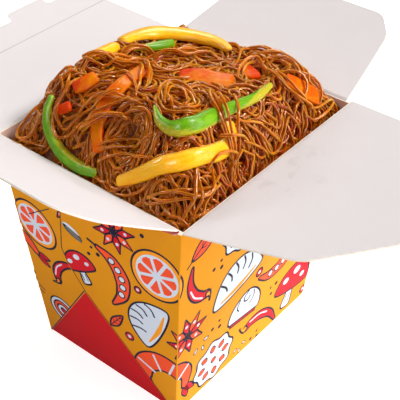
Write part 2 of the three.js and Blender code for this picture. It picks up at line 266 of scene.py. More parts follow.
def make_stain_group():
    """Where sauce and oil have soaked in: patchy, and only near the carton's mouth."""
    tree, graph, given, out = shader_group("Sauce stain", [("Amount", 0.5), ("Scale", 160.0)], ["Stain"])
    place = graph.place()
    patches = graph.noise(place, given["Scale"], 5.0, 0.65)
    height = graph.add("ShaderNodeSeparateXYZ", {"Vector": place}).outputs["Z"]
    low = graph.ramp(height, 0.085, 0.1, 1.0, 0.65)
    soaked = graph.ramp(patches, graph.value("SUBTRACT", 1.0, given["Amount"]), 1.0, 0.0, 1.0)
    tree.links.new(graph.value("MULTIPLY", soaked, low, clamp=True), out.inputs["Stain"])


def new_material(name, **constants):
    """A material with a bare Principled shader; returns it with its graph and that shader."""
    material = bpy.data.materials.new(name)
    material.use_nodes = True
    graph = Graph(material.node_tree)
    shader = material.node_tree.nodes["Principled BSDF"]
    for label, value in constants.items():
        shader.inputs[label.replace("_", " ")].default_value = value
    return material, graph, shader


# Colours within a finish that the settings leave alone.
SCUFF_GREY = srgb(140, 124, 116)
# Painted glints of wetness on the peppers.
PEPPER_PAINTED_GLINT = srgb(250, 232, 150)
CARROT_PATCH = srgb(208, 82, 2)
CARROT_GRAIN = srgb(232, 150, 20)
# Painted shade: the red at the carrots' ends and undersides.
CARROT_PAINTED_SHADE = srgb(206, 56, 2)
WARM_GLOSS = (1.0, 0.9, 0.7, 1.0)
CARROT_GLOSS = (1.0, 0.66, 0.3, 1.0)
INK_GLOSS = 0.06


def scaled(colour_value, share):
    return tuple(share * value for value in colour_value)


def board_material(name, base, mottle, roughness, shine=0.16, stain=0.0, scuff=None):
    """Coated or bare board in one colour, with fibres, and with sauce or scuffs where they are asked for."""
    settings = bpy.context.scene.noodle_board
    material, graph, shader = new_material(name, Roughness=roughness, Specular_IOR_Level=shine)
    fibre = use_group(graph, "Board fibre", Mottle=mottle)
    surface = graph.tinted(base, fibre["Tone"])
    if stain:
        soaked = use_group(graph, "Sauce stain", Amount=stain)["Stain"]
        surface = graph.mix(soaked, surface, tuple(settings.stain))
        graph.tree.links.new(graph.value("SUBTRACT", roughness, graph.value("MULTIPLY", soaked, 0.3)),
                             shader.inputs["Roughness"])
    if scuff:
        place = graph.place()
        off = graph.add("ShaderNodeVectorMath", {0: place, 1: scuff},
                        operation="DISTANCE").outputs["Value"]
        marks = graph.ramp(graph.noise(place, 210.0, 5.0, 0.7), 0.52, 0.7)
        marks = graph.value("MULTIPLY", marks, graph.ramp(off, 0.006, 0.026, 0.17, 0.0))
        surface = graph.mix(marks, surface, SCUFF_GREY)
    graph.tree.links.new(surface, shader.inputs["Base Color"])
    graph.tree.links.new(graph.bump(fibre["Height"], 0.25, 0.0001), shader.inputs["Normal"])
    return material


def ink_material(name, base):
    """Printed ink on the board: the board's fibre shows through it."""
    return board_material(name, tuple(base), 0.10, 0.42, shine=INK_GLOSS)


def noodle_material(name, settings):
    """Translucent oily glass noodle: browner where it lies deeper, which is painted shade, with painted shade
    in its middle and a painted highlight along its edges.
    """
    material, graph, shader = new_material(
        name, IOR=1.5, Transmission_Weight=0.5, Roughness=0.09, Specular_Tint=WARM_GLOSS)
    place = graph.place()
    patches = graph.swing(graph.noise(place, 70.0, 4.0, 0.6), 1.4)
    share = graph.value("ADD", graph.attribute("tone"), patches, clamp=True)
    streaks = graph.ramp(graph.noise(place, 520.0, 2.0), 0.35, 0.75, 0.82, 1.12)
    base = graph.mix(share, tuple(settings.deep), tuple(settings.light))
    turned = graph.add("ShaderNodeLayerWeight", {"Blend": 0.5}).outputs["Facing"]
    # Painted shade: the middle of each strand, as seen, darkens towards the gap colour.
    base = graph.mix(graph.ramp(turned, 0.0, 0.3, 0.7, 0.0), base, scaled(settings.gap, 1.5))
    # Painted highlight along each strand's edges, where the strand turns away from the view.
    base = graph.mix(graph.ramp(turned, 0.3, 0.62, 0.0, 0.8), base, tuple(settings.rim))
    graph.tree.links.new(graph.tinted(base, streaks), shader.inputs["Base Color"])
    graph.tree.links.new(graph.bump(graph.noise(place, 900.0, 3.0), 0.25, 0.0003), shader.inputs["Normal"])
    return material


def core_material(settings):
    """The dark sauce-soaked mass that shows between the strands, darkened further as painted shade of the deep
    tangle.
    """
    material, graph, shader = new_material("Sauced core", Roughness=0.6, Specular_IOR_Level=0.2)
    place = graph.place()
    mottle = graph.ramp(graph.noise(place, 620.0, 4.0), 0.4, 0.62)
    base = graph.mix(mottle, scaled(settings.gap, 0.8), scaled(settings.light, 0.3))
    graph.tree.links.new(base, shader.inputs["Base Color"])
    graph.tree.links.new(graph.bump(mottle, 0.6, 0.001), shader.inputs["Normal"])
    return material


def strip_grain(graph, along, around, detail):
    """Noise drawn out along a strip; along and around are its scales that way."""
    ways = graph.add("ShaderNodeCombineXYZ", {
        "X": graph.value("MULTIPLY", graph.attribute("along"), along),
        "Y": graph.value("MULTIPLY", graph.attribute("around"), around)})
    return graph.noise(ways.outputs["Vector"], 1.0, detail, 0.6)


def pepper_material(name, skin, flesh, tip, painted_sheen):
    """Glossy skin with a painted sheen along its rim, and rougher flesh on the cut side, with more painted wet
    glints there.
    """
    material, graph, shader = new_material(
        name, IOR=1.45, Coat_Weight=0.2, Coat_Roughness=0.14, Subsurface_Weight=0.2,
        Subsurface_Scale=0.0015, Specular_IOR_Level=0.25, Specular_Tint=WARM_GLOSS)
    place = graph.place()
    inner = graph.attribute("flesh")
    mottle = graph.noise(place, 240.0, 4.0)
    speckle = graph.noise(place, 1300.0, 3.0, 0.6)
    streaks = strip_grain(graph, 90.0, 1100.0, 4.0)
    base = graph.mix(graph.ramp(mottle, 0.35, 0.65, 0.0, 0.6), skin, tip)
    base = graph.mix(graph.ramp(streaks, 0.42, 0.6, 0.0, 0.7), base, tip)
    # Painted sheen: a pale band along the skin's outer rim, broken up by the streaks.
    rim = graph.value("ADD", graph.attribute("rim"), graph.swing(streaks, 0.6))
    base = graph.mix(graph.ramp(rim, 0.58, 0.86, 0.0, 0.75), base, painted_sheen)
    edge = graph.value("ADD", inner, graph.swing(streaks, 0.8), clamp=True)
    base = graph.mix(edge, base, flesh)
    # Painted glints: pale speckles of wetness, more of them on the cut side.
    painted_glints = graph.value("MULTIPLY", graph.ramp(speckle, 0.58, 0.7), graph.value("ADD", inner, 0.2), clamp=True)
    base = graph.mix(graph.value("MULTIPLY", painted_glints, 0.6), base, PEPPER_PAINTED_GLINT)
    graph.tree.links.new(base, shader.inputs["Base Color"])
    graph.tree.links.new(graph.ramp(inner, 0.2, 0.8, 0.26, 0.4), shader.inputs["Roughness"])
    height = graph.total(streaks, 0.9, speckle, 0.4)
    graph.tree.links.new(graph.bump(height, 0.6, 0.0007), shader.inputs["Normal"])
    return material


def carrot_material(settings):
    """Moist carrot with grain along each strip, redder at its ends and along its underside, which is painted
    shade.
    """
    material, graph, shader = new_material(
        "Carrot", Roughness=0.42, IOR=1.4, Specular_IOR_Level=0.12, Coat_Weight=0.04,
        Coat_Roughness=0.2, Subsurface_Weight=0.2, Subsurface_Scale=0.0015, Specular_Tint=CARROT_GLOSS)
    place = graph.place()
    grain = graph.total(strip_grain(graph, 200.0, 1500.0, 4.0), 0.6,
                        graph.noise(place, 900.0, 3.0, 0.65), 0.4)
    patches = graph.noise(place, 160.0, 3.0)
    base = graph.mix(graph.ramp(patches, 0.35, 0.65), tuple(settings.carrot), CARROT_PATCH)
    base = graph.mix(graph.ramp(grain, 0.5, 0.72, 0.0, 0.7), base, CARROT_GRAIN)
    # Painted shade in red, where the flesh attribute marks the ends and the underside.
    base = graph.mix(graph.ramp(graph.attribute("flesh"), 0.3, 1.0), base, CARROT_PAINTED_SHADE)
    graph.tree.links.new(base, shader.inputs["Base Color"])
    graph.tree.links.new(graph.bump(grain, 0.6, 0.0008), shader.inputs["Normal"])
    return material


# Shapes


def half_x(z, inset=0.0):
    return (BASE[0] + (RIM[0] - BASE[0]) * z / HEIGHT) / 2 - inset


def half_y(z, inset=0.0):
    return (BASE[1] + (RIM[1] - BASE[1]) * z / HEIGHT) / 2 - inset


def between(value, start, end):
    """From 0 at a start to 1 at an end, and level beyond them."""
    return np.clip((value - start) / (end - start), 0, 1)


def shoulder(distance, width):
    return np.sin(np.pi / 2 * np.clip(distance / width, 0, 1))


def heap_top(x, y):
    """Height of the heap's surface at a place inside the rim, in millimetres."""
    rise = HEAP_RISE - HEAP_LEAN * x / FOOD[0]
    return (HEIGHT - HEAP_EDGE_DROP + rise
            * shoulder(FOOD[0] + x, HEAP_SHOULDER["left"]) * shoulder(FOOD[0] - x, HEAP_SHOULDER["right"])
            * shoulder(FOOD[1] + y, HEAP_SHOULDER["front"]) * shoulder(FOOD[1] - y, HEAP_SHOULDER["back"]))


def heap_slope(x, y, reach=1.5):
    return ((heap_top(x + reach, y) - heap_top(x - reach, y)) / (2 * reach),
            (heap_top(x, y + reach) - heap_top(x, y - reach)) / (2 * reach))


def over_heap(x, y, lift):
    """Points at a height off the heap's surface, square to it."""
    x, y, lift = (np.asarray(value, float) for value in (x, y, lift))
    slope_x, slope_y = heap_slope(x, y)
    size = np.sqrt(slope_x ** 2 + slope_y ** 2 + 1)
    return np.stack([x - slope_x * lift / size, y - slope_y * lift / size,
                     heap_top(x, y) + lift / size], axis=-1)


def within_walls(points, radius):
    """Points pushed in, where they would touch the carton's walls."""
    up = np.minimum(points[:, 2], HEIGHT)
    reach = np.stack([half_x(up, WEB_INSET + BOARD + WALL_CLEARANCE + radius),
                      half_y(up, BOARD + WALL_CLEARANCE + radius)], axis=1)
    return np.hstack([np.clip(points[:, :2], -reach, reach), points[:, 2:]])


def smooth_route(points, spacing=1.0):
    """A Catmull-Rom curve through points of any dimension, resampled to even spacing."""
    points = np.asarray(points, float)
    padded = np.vstack([2 * points[0] - points[1], points, 2 * points[-1] - points[-2]])
    dense = []
    for index in range(len(points) - 1):
        a, b, c, d = padded[index:index + 4]
        t = np.linspace(0, 1, 24, endpoint=False)[:, None]
        dense.append(0.5 * (2 * b + (c - a) * t + (2 * a - 5 * b + 4 * c - d) * t ** 2
                            + (3 * b - a - 3 * c + d) * t ** 3))
    dense = np.vstack([*dense, points[-1:]])
    walked = np.concatenate([[0], np.cumsum(np.linalg.norm(np.diff(dense, axis=0), axis=1))])
    count = max(2, int(round(walked[-1] / spacing)) + 1)
    even = np.linspace(0, walked[-1], count)
    return np.stack([np.interp(even, walked, dense[:, axis]) for axis in range(dense.shape[1])], axis=1)


def beside(path, offset):
    """A path at a distance to the left of another one in plan."""
    ahead = np.gradient(path, axis=0)
    ahead /= np.maximum(np.linalg.norm(ahead, axis=1), 1e-6)[:, None]
    return path + np.stack([-ahead[:, 1], ahead[:, 0]], axis=1) * np.reshape(offset, (-1, 1))


def new_verts(made):
    """The vertices among what an extrusion made."""
    return [item for item in made["geom"] if isinstance(item, bmesh.types.BMVert)]


def cut_plane(bm, place, way, **how):
    """Splits a whole shape along a plane."""
    bmesh.ops.bisect_plane(bm, geom=bm.verts[:] + bm.edges[:] + bm.faces[:], plane_co=place, plane_no=way,
                           **how)


def add_piece(name, bm, materials, body, replaces=()):
    """Makes a mesh in millimetres into a piece in metres that rides on a body."""
    bmesh.ops.scale(bm, vec=(MM, MM, MM), verts=bm.verts)
    mesh = bpy.data.meshes.new(name)
    for material in materials:
        mesh.materials.append(material)
    bm.to_mesh(mesh)
    bm.free()
    return link_piece(name, mesh, body, replaces)


def link_piece(name, mesh, body, replaces=()):
    piece = bpy.data.objects.new(name, mesh)
    bpy.context.scene.collection.objects.link(piece)
    if body:
        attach(piece, body)
    if replaces:
        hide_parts(*replaces)
    return piece


def shade_smooth(bm, sharp=35.0):
    """Smooth faces, with edges sharper than an angle left crisp."""
    for face in bm.faces:
        face.smooth = True
    for edge in bm.edges:
        edge.smooth = len(edge.link_faces) == 2 and edge.calc_face_angle(0) < math.radians(sharp)


# Board

PRINTED, RED, BARE, CUT = range(4)
# How nearly a face of the carton must face an axis to count as facing it.
FACING = 0.9
# How far a face may lie off the layer of board that it is told by, in millimetres.
LAYER_SLACK = 0.1
CORNER_BEVEL = 0.3
# Where sauce and steam have scuffed the front flap, in metres.
SCUFF = (-0.004, -0.048, 0.101)


def board_materials():
    return [bpy.data.materials[name] for name in ("Printed board", "Red board", "Bare board", "Cut edge")]


def outside_of(name):
    """The finish on a flap's outer side: the end flaps have their panels' colour."""
    return RED if name in ("left_flap", "right_flap") else PRINTED


def board_side(face):
    """Which finish a face of the carton has."""
    normal, centre = face.normal, face.calc_center_median()
    depth_x = half_x(centre.z) - abs(centre.x)
    depth_y = half_y(centre.z) - abs(centre.y)
    if abs(normal.z) > FACING:
        return PRINTED if centre.z < LAYER_SLACK else BARE if centre.z < 5 else CUT
    if abs(normal.x) > FACING:
        if normal.x * centre.x < 0:
            return BARE
        return PRINTED if depth_x < 1.5 * BOARD else RED
    if abs(normal.y) > FACING and depth_y < LAYER_SLACK:
        return PRINTED
    if abs(normal.y) > FACING and abs(depth_y - BOARD) < LAYER_SLACK and normal.y * centre.y < 0:
        return BARE
    return CUT


def carton_shape():
    bm = bmesh.new()
    bm.from_mesh(NODES["carton"].data)
    bmesh.ops.scale(bm, vec=(1 / MM,) * 3, verts=bm.verts)
    bmesh.ops.remove_doubles(bm, verts=bm.verts, dist=1e-3)
    bmesh.ops.dissolve_limit(bm, angle_limit=math.radians(0.4), verts=bm.verts, edges=bm.edges)
    for face in bm.faces:
        face.material_index = board_side(face)
    corners = [edge for edge in bm.edges if is_carton_corner(edge)]
    bmesh.ops.bevel(bm, geom=corners, offset=CORNER_BEVEL, segments=3, profile=0.5, affect="EDGES",
                    material=-1)
    shade_smooth(bm)
    return bm


def is_carton_corner(edge):
    """True for the long outer edges that run up the carton or round its base."""
    for vert in edge.verts:
        x, y, z = vert.co
        if abs(abs(x) - half_x(z)) > 0.05 or abs(abs(y) - half_y(z)) > 0.05:
            return False
    return edge.calc_length() > 20 and abs(edge.verts[0].co.z - edge.verts[1].co.z) > 10


def crease_frame(name):
    """From a level plane at a flap's crease, x along it, y out and z up, to the carton's."""
    flap = FLAPS[name]
    return (Matrix.Rotation(math.radians(flap["turn"]), 4, "Z")
            @ Matrix.Translation((0, flap["out"] + HINGE, HEIGHT + HINGE)))


def flap_frame(name):
    """The same from a flap's own raised plane; the lid's tuck lies in the lid's."""
    name = name.removesuffix("_tuck")
    return crease_frame(name) @ Matrix.Rotation(math.radians(FLAPS[name]["raise"]), 4, "X")


def mirrored(half, outline):
    """A whole outline from one half, given as [in from the crease's end, out from the crease]."""
    right = [(half - inset, reach) for inset, reach in outline]
    return right + [(-along, reach) for along, reach in reversed(right)]


FLAP_OUTLINES = {
    "left_flap": mirrored(RIM[1] / 2, [(2, 0.3), (7, 37), (15, 47)]),
    "right_flap": mirrored(RIM[1] / 2, [(2, 0.3), (7, 37), (15, 47)]),
    "front_flap": mirrored(RIM[0] / 2, [(0.6, 0.3), (8, 39.6), (31, 61), (36, 64)]),
    "lid": mirrored(RIM[0] / 2, [(0.6, 0.3), (0.6, 39.7)]),
    "lid_tuck": mirrored(RIM[0] / 2, [(0.9, 40.3), (3, 48), (9.5, 56), (20, 56), (19, 62), (38.8, 62),
                                      (40.8, 56)]),
}
CORNER_ROUND = {"left_flap": 5.0, "right_flap": 3.0, "front_flap": 3.5, "lid": 0.1, "lid_tuck": 1.4}
BEND_STEP = 4.0
# The folded strip at a crease: board at the fold, how far it bulges and reaches on to its flap, where
# the bending ends, how much shorter than the crease it is, how far under the rim it starts, and how
# finely it is divided round the fold and along it.
FOLD_BOARD = 0.45
FOLD_BULGE = 0.34
FOLD_REACH = 0.8
FOLD_END = 0.35
FOLD_SHORT = 0.3
FOLD_DROP = 0.1
FOLD_SPACING = 0.22
FOLD_LENGTHS = 24
# The bar of board in the fold between the lid and its tuck: its width and thickness, how far the
# middle of the fold lies from the lid's edge, and its cuts.
TUCK_FOLD = (0.56, 0.54)
HALF_TUCK_GAP = 0.3
TUCK_CUTS = 20
FLAP_CURL = {"left_flap": 1.0, "right_flap": 1.0, "front_flap": 1.0, "lid": 0.0, "lid_tuck": 0.0}


def bent(reach, amount, whole):
    """How far a flap stands off its flat plane at a distance from its crease."""
    return amount * (reach / whole) ** 2


def bend_flap(bm, amount, whole):
    for vert in bm.verts:
        vert.co.z += bent(max(vert.co.y, 0.0), amount, whole)


def flap_shape(name, amount):
    """A creased flap: its outline cut from board, corners rounded, bent a little along its reach."""
    bm = bmesh.new()
    outline = FLAP_OUTLINES[name]
    bm.faces.new([bm.verts.new((x, y, -BOARD / 2)) for x, y in outline])
    corners = [vert for vert in bm.verts if vert.co.y > 1.0]
    bmesh.ops.bevel(bm, geom=corners, offset=CORNER_ROUND[name], segments=5, profile=0.5,
                    affect="VERTICES", material=-1)
    face = max(bm.faces, key=lambda item: item.calc_area())
    if face.normal.z < 0:
        face.normal_flip()
    made = bmesh.ops.extrude_face_region(bm, geom=[face])
    bmesh.ops.translate(bm, vec=(0, 0, BOARD), verts=new_verts(made))
    reach = max(y for x, y in outline)
    cut_across(bm, reach)
    bmesh.ops.recalc_face_normals(bm, faces=bm.faces)
    for face in bm.faces:
        up = face.normal.z
        face.material_index = BARE if up > 0.5 else outside_of(name) if up < -0.5 else CUT
    bend_flap(bm, amount, reach)
    bmesh.ops.transform(bm, matrix=flap_frame(name), verts=bm.verts)
    shade_smooth(bm)
    return bm


def cut_across(bm, reach):
    """Splits a flat shape at even distances from the crease, so that it can bend there."""
    for step in range(1, int(reach / BEND_STEP) + 1):
        cut_plane(bm, (0, step * BEND_STEP, 0), (0, 1, 0))


def finish_fold(bm, way):
    """Gives the faces that look away from a direction the second material, the others the first."""
    for face in bm.faces:
        face.normal_update()
        face.material_index = int(face.normal.dot(way) < -0.5)


def crease_shape(name, half, inner, outer):
    """The scored fold between a wall and its flap: a strip of board round the fold's arc."""
    bm = bmesh.new()
    middle = ((inner[0] + outer[0]) / 2, (inner[1] + outer[1]) / 2 + FOLD_BULGE)
    profile = smooth_route([inner, middle, outer], FOLD_SPACING)
    verts = [bm.verts.new((-half, y, z)) for y, z in profile]
    edges = [bm.edges.new(pair) for pair in zip(verts, verts[1:])]
    made = bmesh.ops.extrude_edge_only(bm, edges=edges)
    bmesh.ops.translate(bm, vec=(2 * half, 0, 0), verts=new_verts(made))
    for step in range(1, FOLD_LENGTHS):
        cut_plane(bm, (half * (2 * step / FOLD_LENGTHS - 1), 0, 0), (1, 0, 0))
    bmesh.ops.recalc_face_normals(bm, faces=bm.faces)
    if sum(face.normal.z for face in bm.faces) < 0:
        bmesh.ops.reverse_faces(bm, faces=bm.faces)
    bmesh.ops.solidify(bm, geom=bm.faces[:], thickness=FOLD_BOARD)
    finish_fold(bm, (0, -1, 1))
    bmesh.ops.transform(bm, matrix=crease_frame(name), verts=bm.verts)
    shade_smooth(bm)
    return bm


def tuck_crease_shape(half, fold):
    """The scored fold between the lid and its tuck: a flat bar of board."""
    bm = bmesh.new()
    bmesh.ops.create_cube(bm, size=1)
    bmesh.ops.scale(bm, vec=(2 * half - 1, *TUCK_FOLD), verts=bm.verts)
    long_edges = [edge for edge in bm.edges if edge.calc_length() > 10]
    bmesh.ops.subdivide_edges(bm, edges=long_edges, cuts=TUCK_CUTS)
    finish_fold(bm, (0, 0, 1))
    bmesh.ops.translate(bm, vec=(0, fold, 0), verts=bm.verts)
    bmesh.ops.transform(bm, matrix=flap_frame("lid"), verts=bm.verts)
    shade_smooth(bm)
    return bm


# Operators


class NOODLEBOX_OT_board_finishes(Operator):
    """Make the shader groups and the materials of the board"""
    bl_idname = "noodlebox.board_finishes"
    bl_label = "Board finishes"

    def execute(self, context):
        make_paper_group()
        make_stain_group()
        settings = context.scene.noodle_board
        board_material("Printed board", tuple(settings.outside), 0.10, 0.42, shine=INK_GLOSS)
        board_material("Red board", tuple(settings.end_panel), 0.12, 0.40, shine=INK_GLOSS)
        # Painted shade: board darkened for the shade in the score between the lid and its tuck.
        board_material("Scored board", scaled(settings.inside, 0.68), 0.05, 0.8)
        board_material("Bare board", tuple(settings.inside), 0.05, 0.75)
        board_material("Stained board", tuple(settings.inside), 0.05, 0.6, stain=1.25)
        board_material("Scuffed board", tuple(settings.inside), 0.05, 0.75, scuff=SCUFF)
        board_material("Cut edge", tuple(settings.cut), 0.10, 0.85)
        return {"FINISHED"}


class NOODLEBOX_OT_carton(Operator):
    """Build the carton's walls, floor and folded corner webs"""
    bl_idname = "noodlebox.carton"
    bl_label = "Carton"

    def execute(self, context):
        materials = board_materials()
        materials[BARE] = bpy.data.materials["Stained board"]
        add_piece("carton_board", carton_shape(), materials, "box", ["carton"])
        return {"FINISHED"}


class NOODLEBOX_OT_flaps(Operator):
    """Cut, round and bend the four flaps and the lid's tuck"""
    bl_idname = "noodlebox.flaps"
    bl_label = "Flaps"

    def execute(self, context):
        curl = context.scene.noodle_board.curl / MM
        for name in FLAP_OUTLINES:
            materials = board_materials()
            if name == "front_flap":
                materials[BARE] = bpy.data.materials["Scuffed board"]
            shape = flap_shape(name, FLAP_CURL[name] * curl)
            add_piece(name + "_board", shape, materials, name, [name])
        return {"FINISHED"}


class NOODLEBOX_OT_creases(Operator):
    """Fold the board across each crease"""
    bl_idname = "noodlebox.creases"
    bl_label = "Creases"

    def execute(self, context):
        for name, flap in FLAPS.items():
            half = FLAP_OUTLINES[name][0][0]
            tilt = math.radians(flap["raise"])
            inner = (-HINGE - BOARD / 2, -HINGE - FOLD_DROP)
            outer = (FOLD_REACH * math.cos(tilt), FOLD_REACH * math.sin(tilt))
            finishes = [board_materials()[side] for side in (BARE, outside_of(name))]
            piece = add_piece(name + "_crease", crease_shape(name, half - FOLD_SHORT, inner, outer), finishes,
                              None)
            start = crease_frame(name) @ Vector((0, *inner)) * MM
            end = crease_frame(name) @ Vector((0, FOLD_END * math.cos(tilt), FOLD_END * math.sin(tilt))) * MM
            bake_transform(piece)
            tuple(start)
            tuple(end)
        half = FLAP_OUTLINES["lid"][0][0]
        fold = FLAP_OUTLINES["lid"][1][1] + HALF_TUCK_GAP
        # The crease's upper side is board in painted shade.
        finishes = [bpy.data.materials[label] for label in ("Scored board", "Printed board")]
        piece = add_piece("lid_tuck_crease", tuck_crease_shape(half, fold), finishes, None)
        start, end = (flap_frame("lid") @ Vector((0, fold + side, 0)) * MM
                      for side in (-TUCK_FOLD[0] / 2, TUCK_FOLD[0] / 2))
        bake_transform(piece)
        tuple(start)
        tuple(end)
        return {"FINISHED"}


# Print

DARK, CHILLI, CORAL, PALE, YOLK, CUT_SHADE = range(6)
INKS = ("dark", "red", "coral", "pale", "yolk", "shade")
# How far the lowest ink stands off the board, and each layer over the one below, in millimetres.
INK_LIFT = 0.03
INK_LAYER = 0.016


def ellipse(wide, high=None, x=0.0, y=0.0, points=32):
    high = high or wide
    turns = [2 * math.pi * index / points for index in range(points)]
    return [(x + wide * math.cos(turn), y + high * math.sin(turn)) for turn in turns]


def turned(outline, turn, x=0.0, y=0.0):
    """An outline turned by an angle in radians, then moved."""
    cos, sin = math.cos(turn), math.sin(turn)
    return [(x + a * cos - b * sin, y + a * sin + b * cos) for a, b in outline]


def loop(corners, spacing=1.0):
    """A smooth closed outline through corners: the middle round of three, which has no ends."""
    route = smooth_route([*corners, *corners, *corners], spacing)
    third = len(route) // 3

    def first_corner(place):
        """The point of the route next to the first corner, near a place along it."""
        low = place - 6
        return low + int(np.argmin(np.linalg.norm(route[low:place + 7] - corners[0], axis=1)))
    return [tuple(point) for point in route[first_corner(third):first_corner(2 * third)]]


def ribbon(route, widths, spacing=1.2):
    """The outline of a line along a route, its width going evenly through a list."""
    middle = smooth_route(route, spacing) if len(route) > 2 else np.array(route, float)
    wide = np.interp(np.linspace(0, 1, len(middle)), np.linspace(0, 1, len(widths)), widths)
    left, right = beside(middle, wide / 2), beside(middle, -wide / 2)
    ahead, back = middle[-1] - middle[-2], middle[0] - middle[1]
    tip = middle[-1] + ahead / np.linalg.norm(ahead) * wide[-1] / 2
    tail = middle[0] + back / np.linalg.norm(back) * wide[0] / 2
    return [tuple(point) for point in (*left, tip, *right[::-1], tail)]


class Sheet:
    """A flat sheet of printed shapes, in millimetres, x along the panel and y up it."""

    def __init__(self, line):
        self.bm = bmesh.new()
        self.line = line / MM
        self.place = Matrix.Identity(4)

    def fill(self, outline, ink, layer=0, line=1.0):
        """A filled shape; line is the width of its dark edge, in parts of the usual one."""
        height = INK_LIFT + INK_LAYER * layer
        verts = [self.bm.verts.new(self.place @ Vector((x, y, 0))) for x, y in outline]
        for vert in verts:
            vert.co.z = height
        face = self.bm.faces.new(verts)
        face.normal_update()
        if face.normal.z < 0:
            face.normal_flip()
        face.material_index = ink
        if line:
            edge = bmesh.ops.inset_individual(self.bm, faces=[face], thickness=line * self.line,
                                              use_even_offset=True)["faces"]
            for item in edge:
                item.material_index = DARK

    def stroke(self, route, width, ink=DARK, layer=1):
        self.fill(ribbon(route, [width]), ink, layer, 0)

    def add(self, motif, x, y, turn=0, size=1.0):
        self.place = (Matrix.Translation((x, y, 0)) @ Matrix.Rotation(math.radians(turn), 4, "Z")
                      @ Matrix.Scale(size, 4))
        motif(self)


def dumpling(sheet):
    sheet.fill(loop([(-14, -5), (-11, 3), (-6, 8), (0, 9.6), (6, 8), (11, 3), (14, -5), (7, -7.6), (-7, -7.6)]),
               PALE)
    for x, y in ((-8.4, 4.6), (-4.4, 7.4), (0, 8.4), (4.4, 7.4), (8.4, 4.6)):
        sheet.stroke([(x, y), (0.86 * x + 0.9, y - 3.4), (0.7 * x, y - 6)], 0.8)
    sheet.fill(ribbon([(-9.6, -4.6), (0, -5.6), (9.6, -4.6)], [0.8, 2.2, 0.8]), YOLK, 1, 0)


def mushroom(sheet):
    sheet.fill(loop([(-3.4, -11), (-2.8, -4), (-3, 1), (3, 1), (2.8, -4), (3.6, -11), (0, -12.4)]), PALE)
    sheet.fill(loop([(-12, -1.6), (-10.6, 5), (-5.6, 9.6), (0, 11), (5.6, 9.6), (10.6, 5), (12, -1.6),
                     (5, -3.6), (-5, -3.6)]), CHILLI, 1)
    for x, y, size in ((-6, 3.4, 1.9), (0.6, 6.2, 2.3), (6.4, 2, 1.6)):
        sheet.fill(ellipse(size, 0.8 * size, x, y, 20), PALE, 2, 0)
    for x in (-1.2, 1.2):
        sheet.stroke([(x, -5), (x * 1.1, -9.4)], 0.5, DARK, 1)


def chilli(sheet):
    sheet.fill(ribbon([(-12, 5), (-7, 6.4), (0, 5), (7, 0), (12, -8)], [5.6, 6.6, 6, 4.4, 2.4]), CHILLI)
    sheet.stroke([(-9, 7.2), (-2, 6.6), (4, 3.4)], 0.9, PALE)
    sheet.fill(ribbon([(-16.6, 8.6), (-14.6, 6), (-12.2, 5.2)], [1.4, 1.8, 5.4]), YOLK, 1)


def lotus_slice(sheet):
    rim = []
    for turn in (2 * math.pi * index / 64 for index in range(64)):
        reach = 12.4 + 0.8 * math.cos(8 * turn)
        rim.append((reach * math.cos(turn), reach * math.sin(turn)))
    sheet.fill(rim, PALE)
    for index in range(8):
        turn = math.pi / 4 * index
        x, y = 7.4 * math.cos(turn), 7.4 * math.sin(turn)
        sheet.fill(loop([(x * 1.34, y * 1.34), (x - 0.26 * y, y + 0.26 * x), (x * 0.7, y * 0.7),
                         (x + 0.26 * y, y - 0.26 * x)], 0.7), CORAL, 1, 0.6)
    sheet.fill(ellipse(1.7, points=16), CORAL, 1, 0.6)


def citrus_slice(sheet):
    sheet.fill(ellipse(11.6, points=48), YOLK)
    sheet.fill(ellipse(9.2, points=40), PALE, 1, 0)
    for index in range(8):
        turn, half = math.pi / 4 * index, math.pi / 10.4
        corners = [(1.8 * math.cos(turn), 1.8 * math.sin(turn))]
        for share in (-1, -0.4, 0.4, 1):
            reach = 7.6 if abs(share) == 1 else 8.3
            corners.append((reach * math.cos(turn + share * half), reach * math.sin(turn + share * half)))
        sheet.fill(corners, CORAL, 2, 0)


def anise(sheet):
    petal = loop([(1.4, 0), (5.4, 2.5), (8.6, 1.6), (12.4, 0), (8.6, -1.6), (5.4, -2.5)], 0.8)
    for index in range(8):
        turn = math.pi / 4 * index
        sheet.fill(turned(petal, turn), (CHILLI, CORAL)[index % 2], 0, 0.8)
        sheet.fill(ellipse(0.9, x=6.6 * math.cos(turn), y=6.6 * math.sin(turn), points=12), PALE, 1, 0)
    sheet.fill(ellipse(1.8, points=16), DARK, 1, 0)


def pea_pod(sheet):
    sheet.fill(ribbon([(-15, 5), (-9, -1.6), (0, -4.4), (9, -1.6), (15, 5)], [2.6, 6.8, 8.6, 6.8, 2.6]), CORAL)
    for x, y in ((-8.6, -1.4), (-4.4, -3.4), (0, -4.2), (4.4, -3.4), (8.6, -1.4)):
        sheet.fill(ellipse(1.9, x=x, y=y, points=18), PALE, 1, 0.6)
    sheet.stroke([(15, 5), (17.6, 8.6)], 1.2)


def bun(sheet):
    sheet.fill(loop([(-11, -6), (-10.6, 1), (-6, 6.6), (0, 9), (6, 6.6), (10.6, 1), (11, -6), (5, -7.8),
                     (-5, -7.8)]), PALE)
    sheet.stroke([(0, 8), (-2.4, 5.6), (-2, 3), (0.6, 2.4), (1.8, 4.2)], 0.8)
    sheet.stroke([(4, 6.2), (4.8, 2.4), (3, -0.6)], 0.7)
    sheet.stroke([(-5.4, 5.4), (-6.4, 1.4), (-4.6, -1)], 0.7)
    sheet.fill([(-9, -8.6), (9, -8.6), (9.6, -6), (-9.6, -6)], CHILLI, 2)


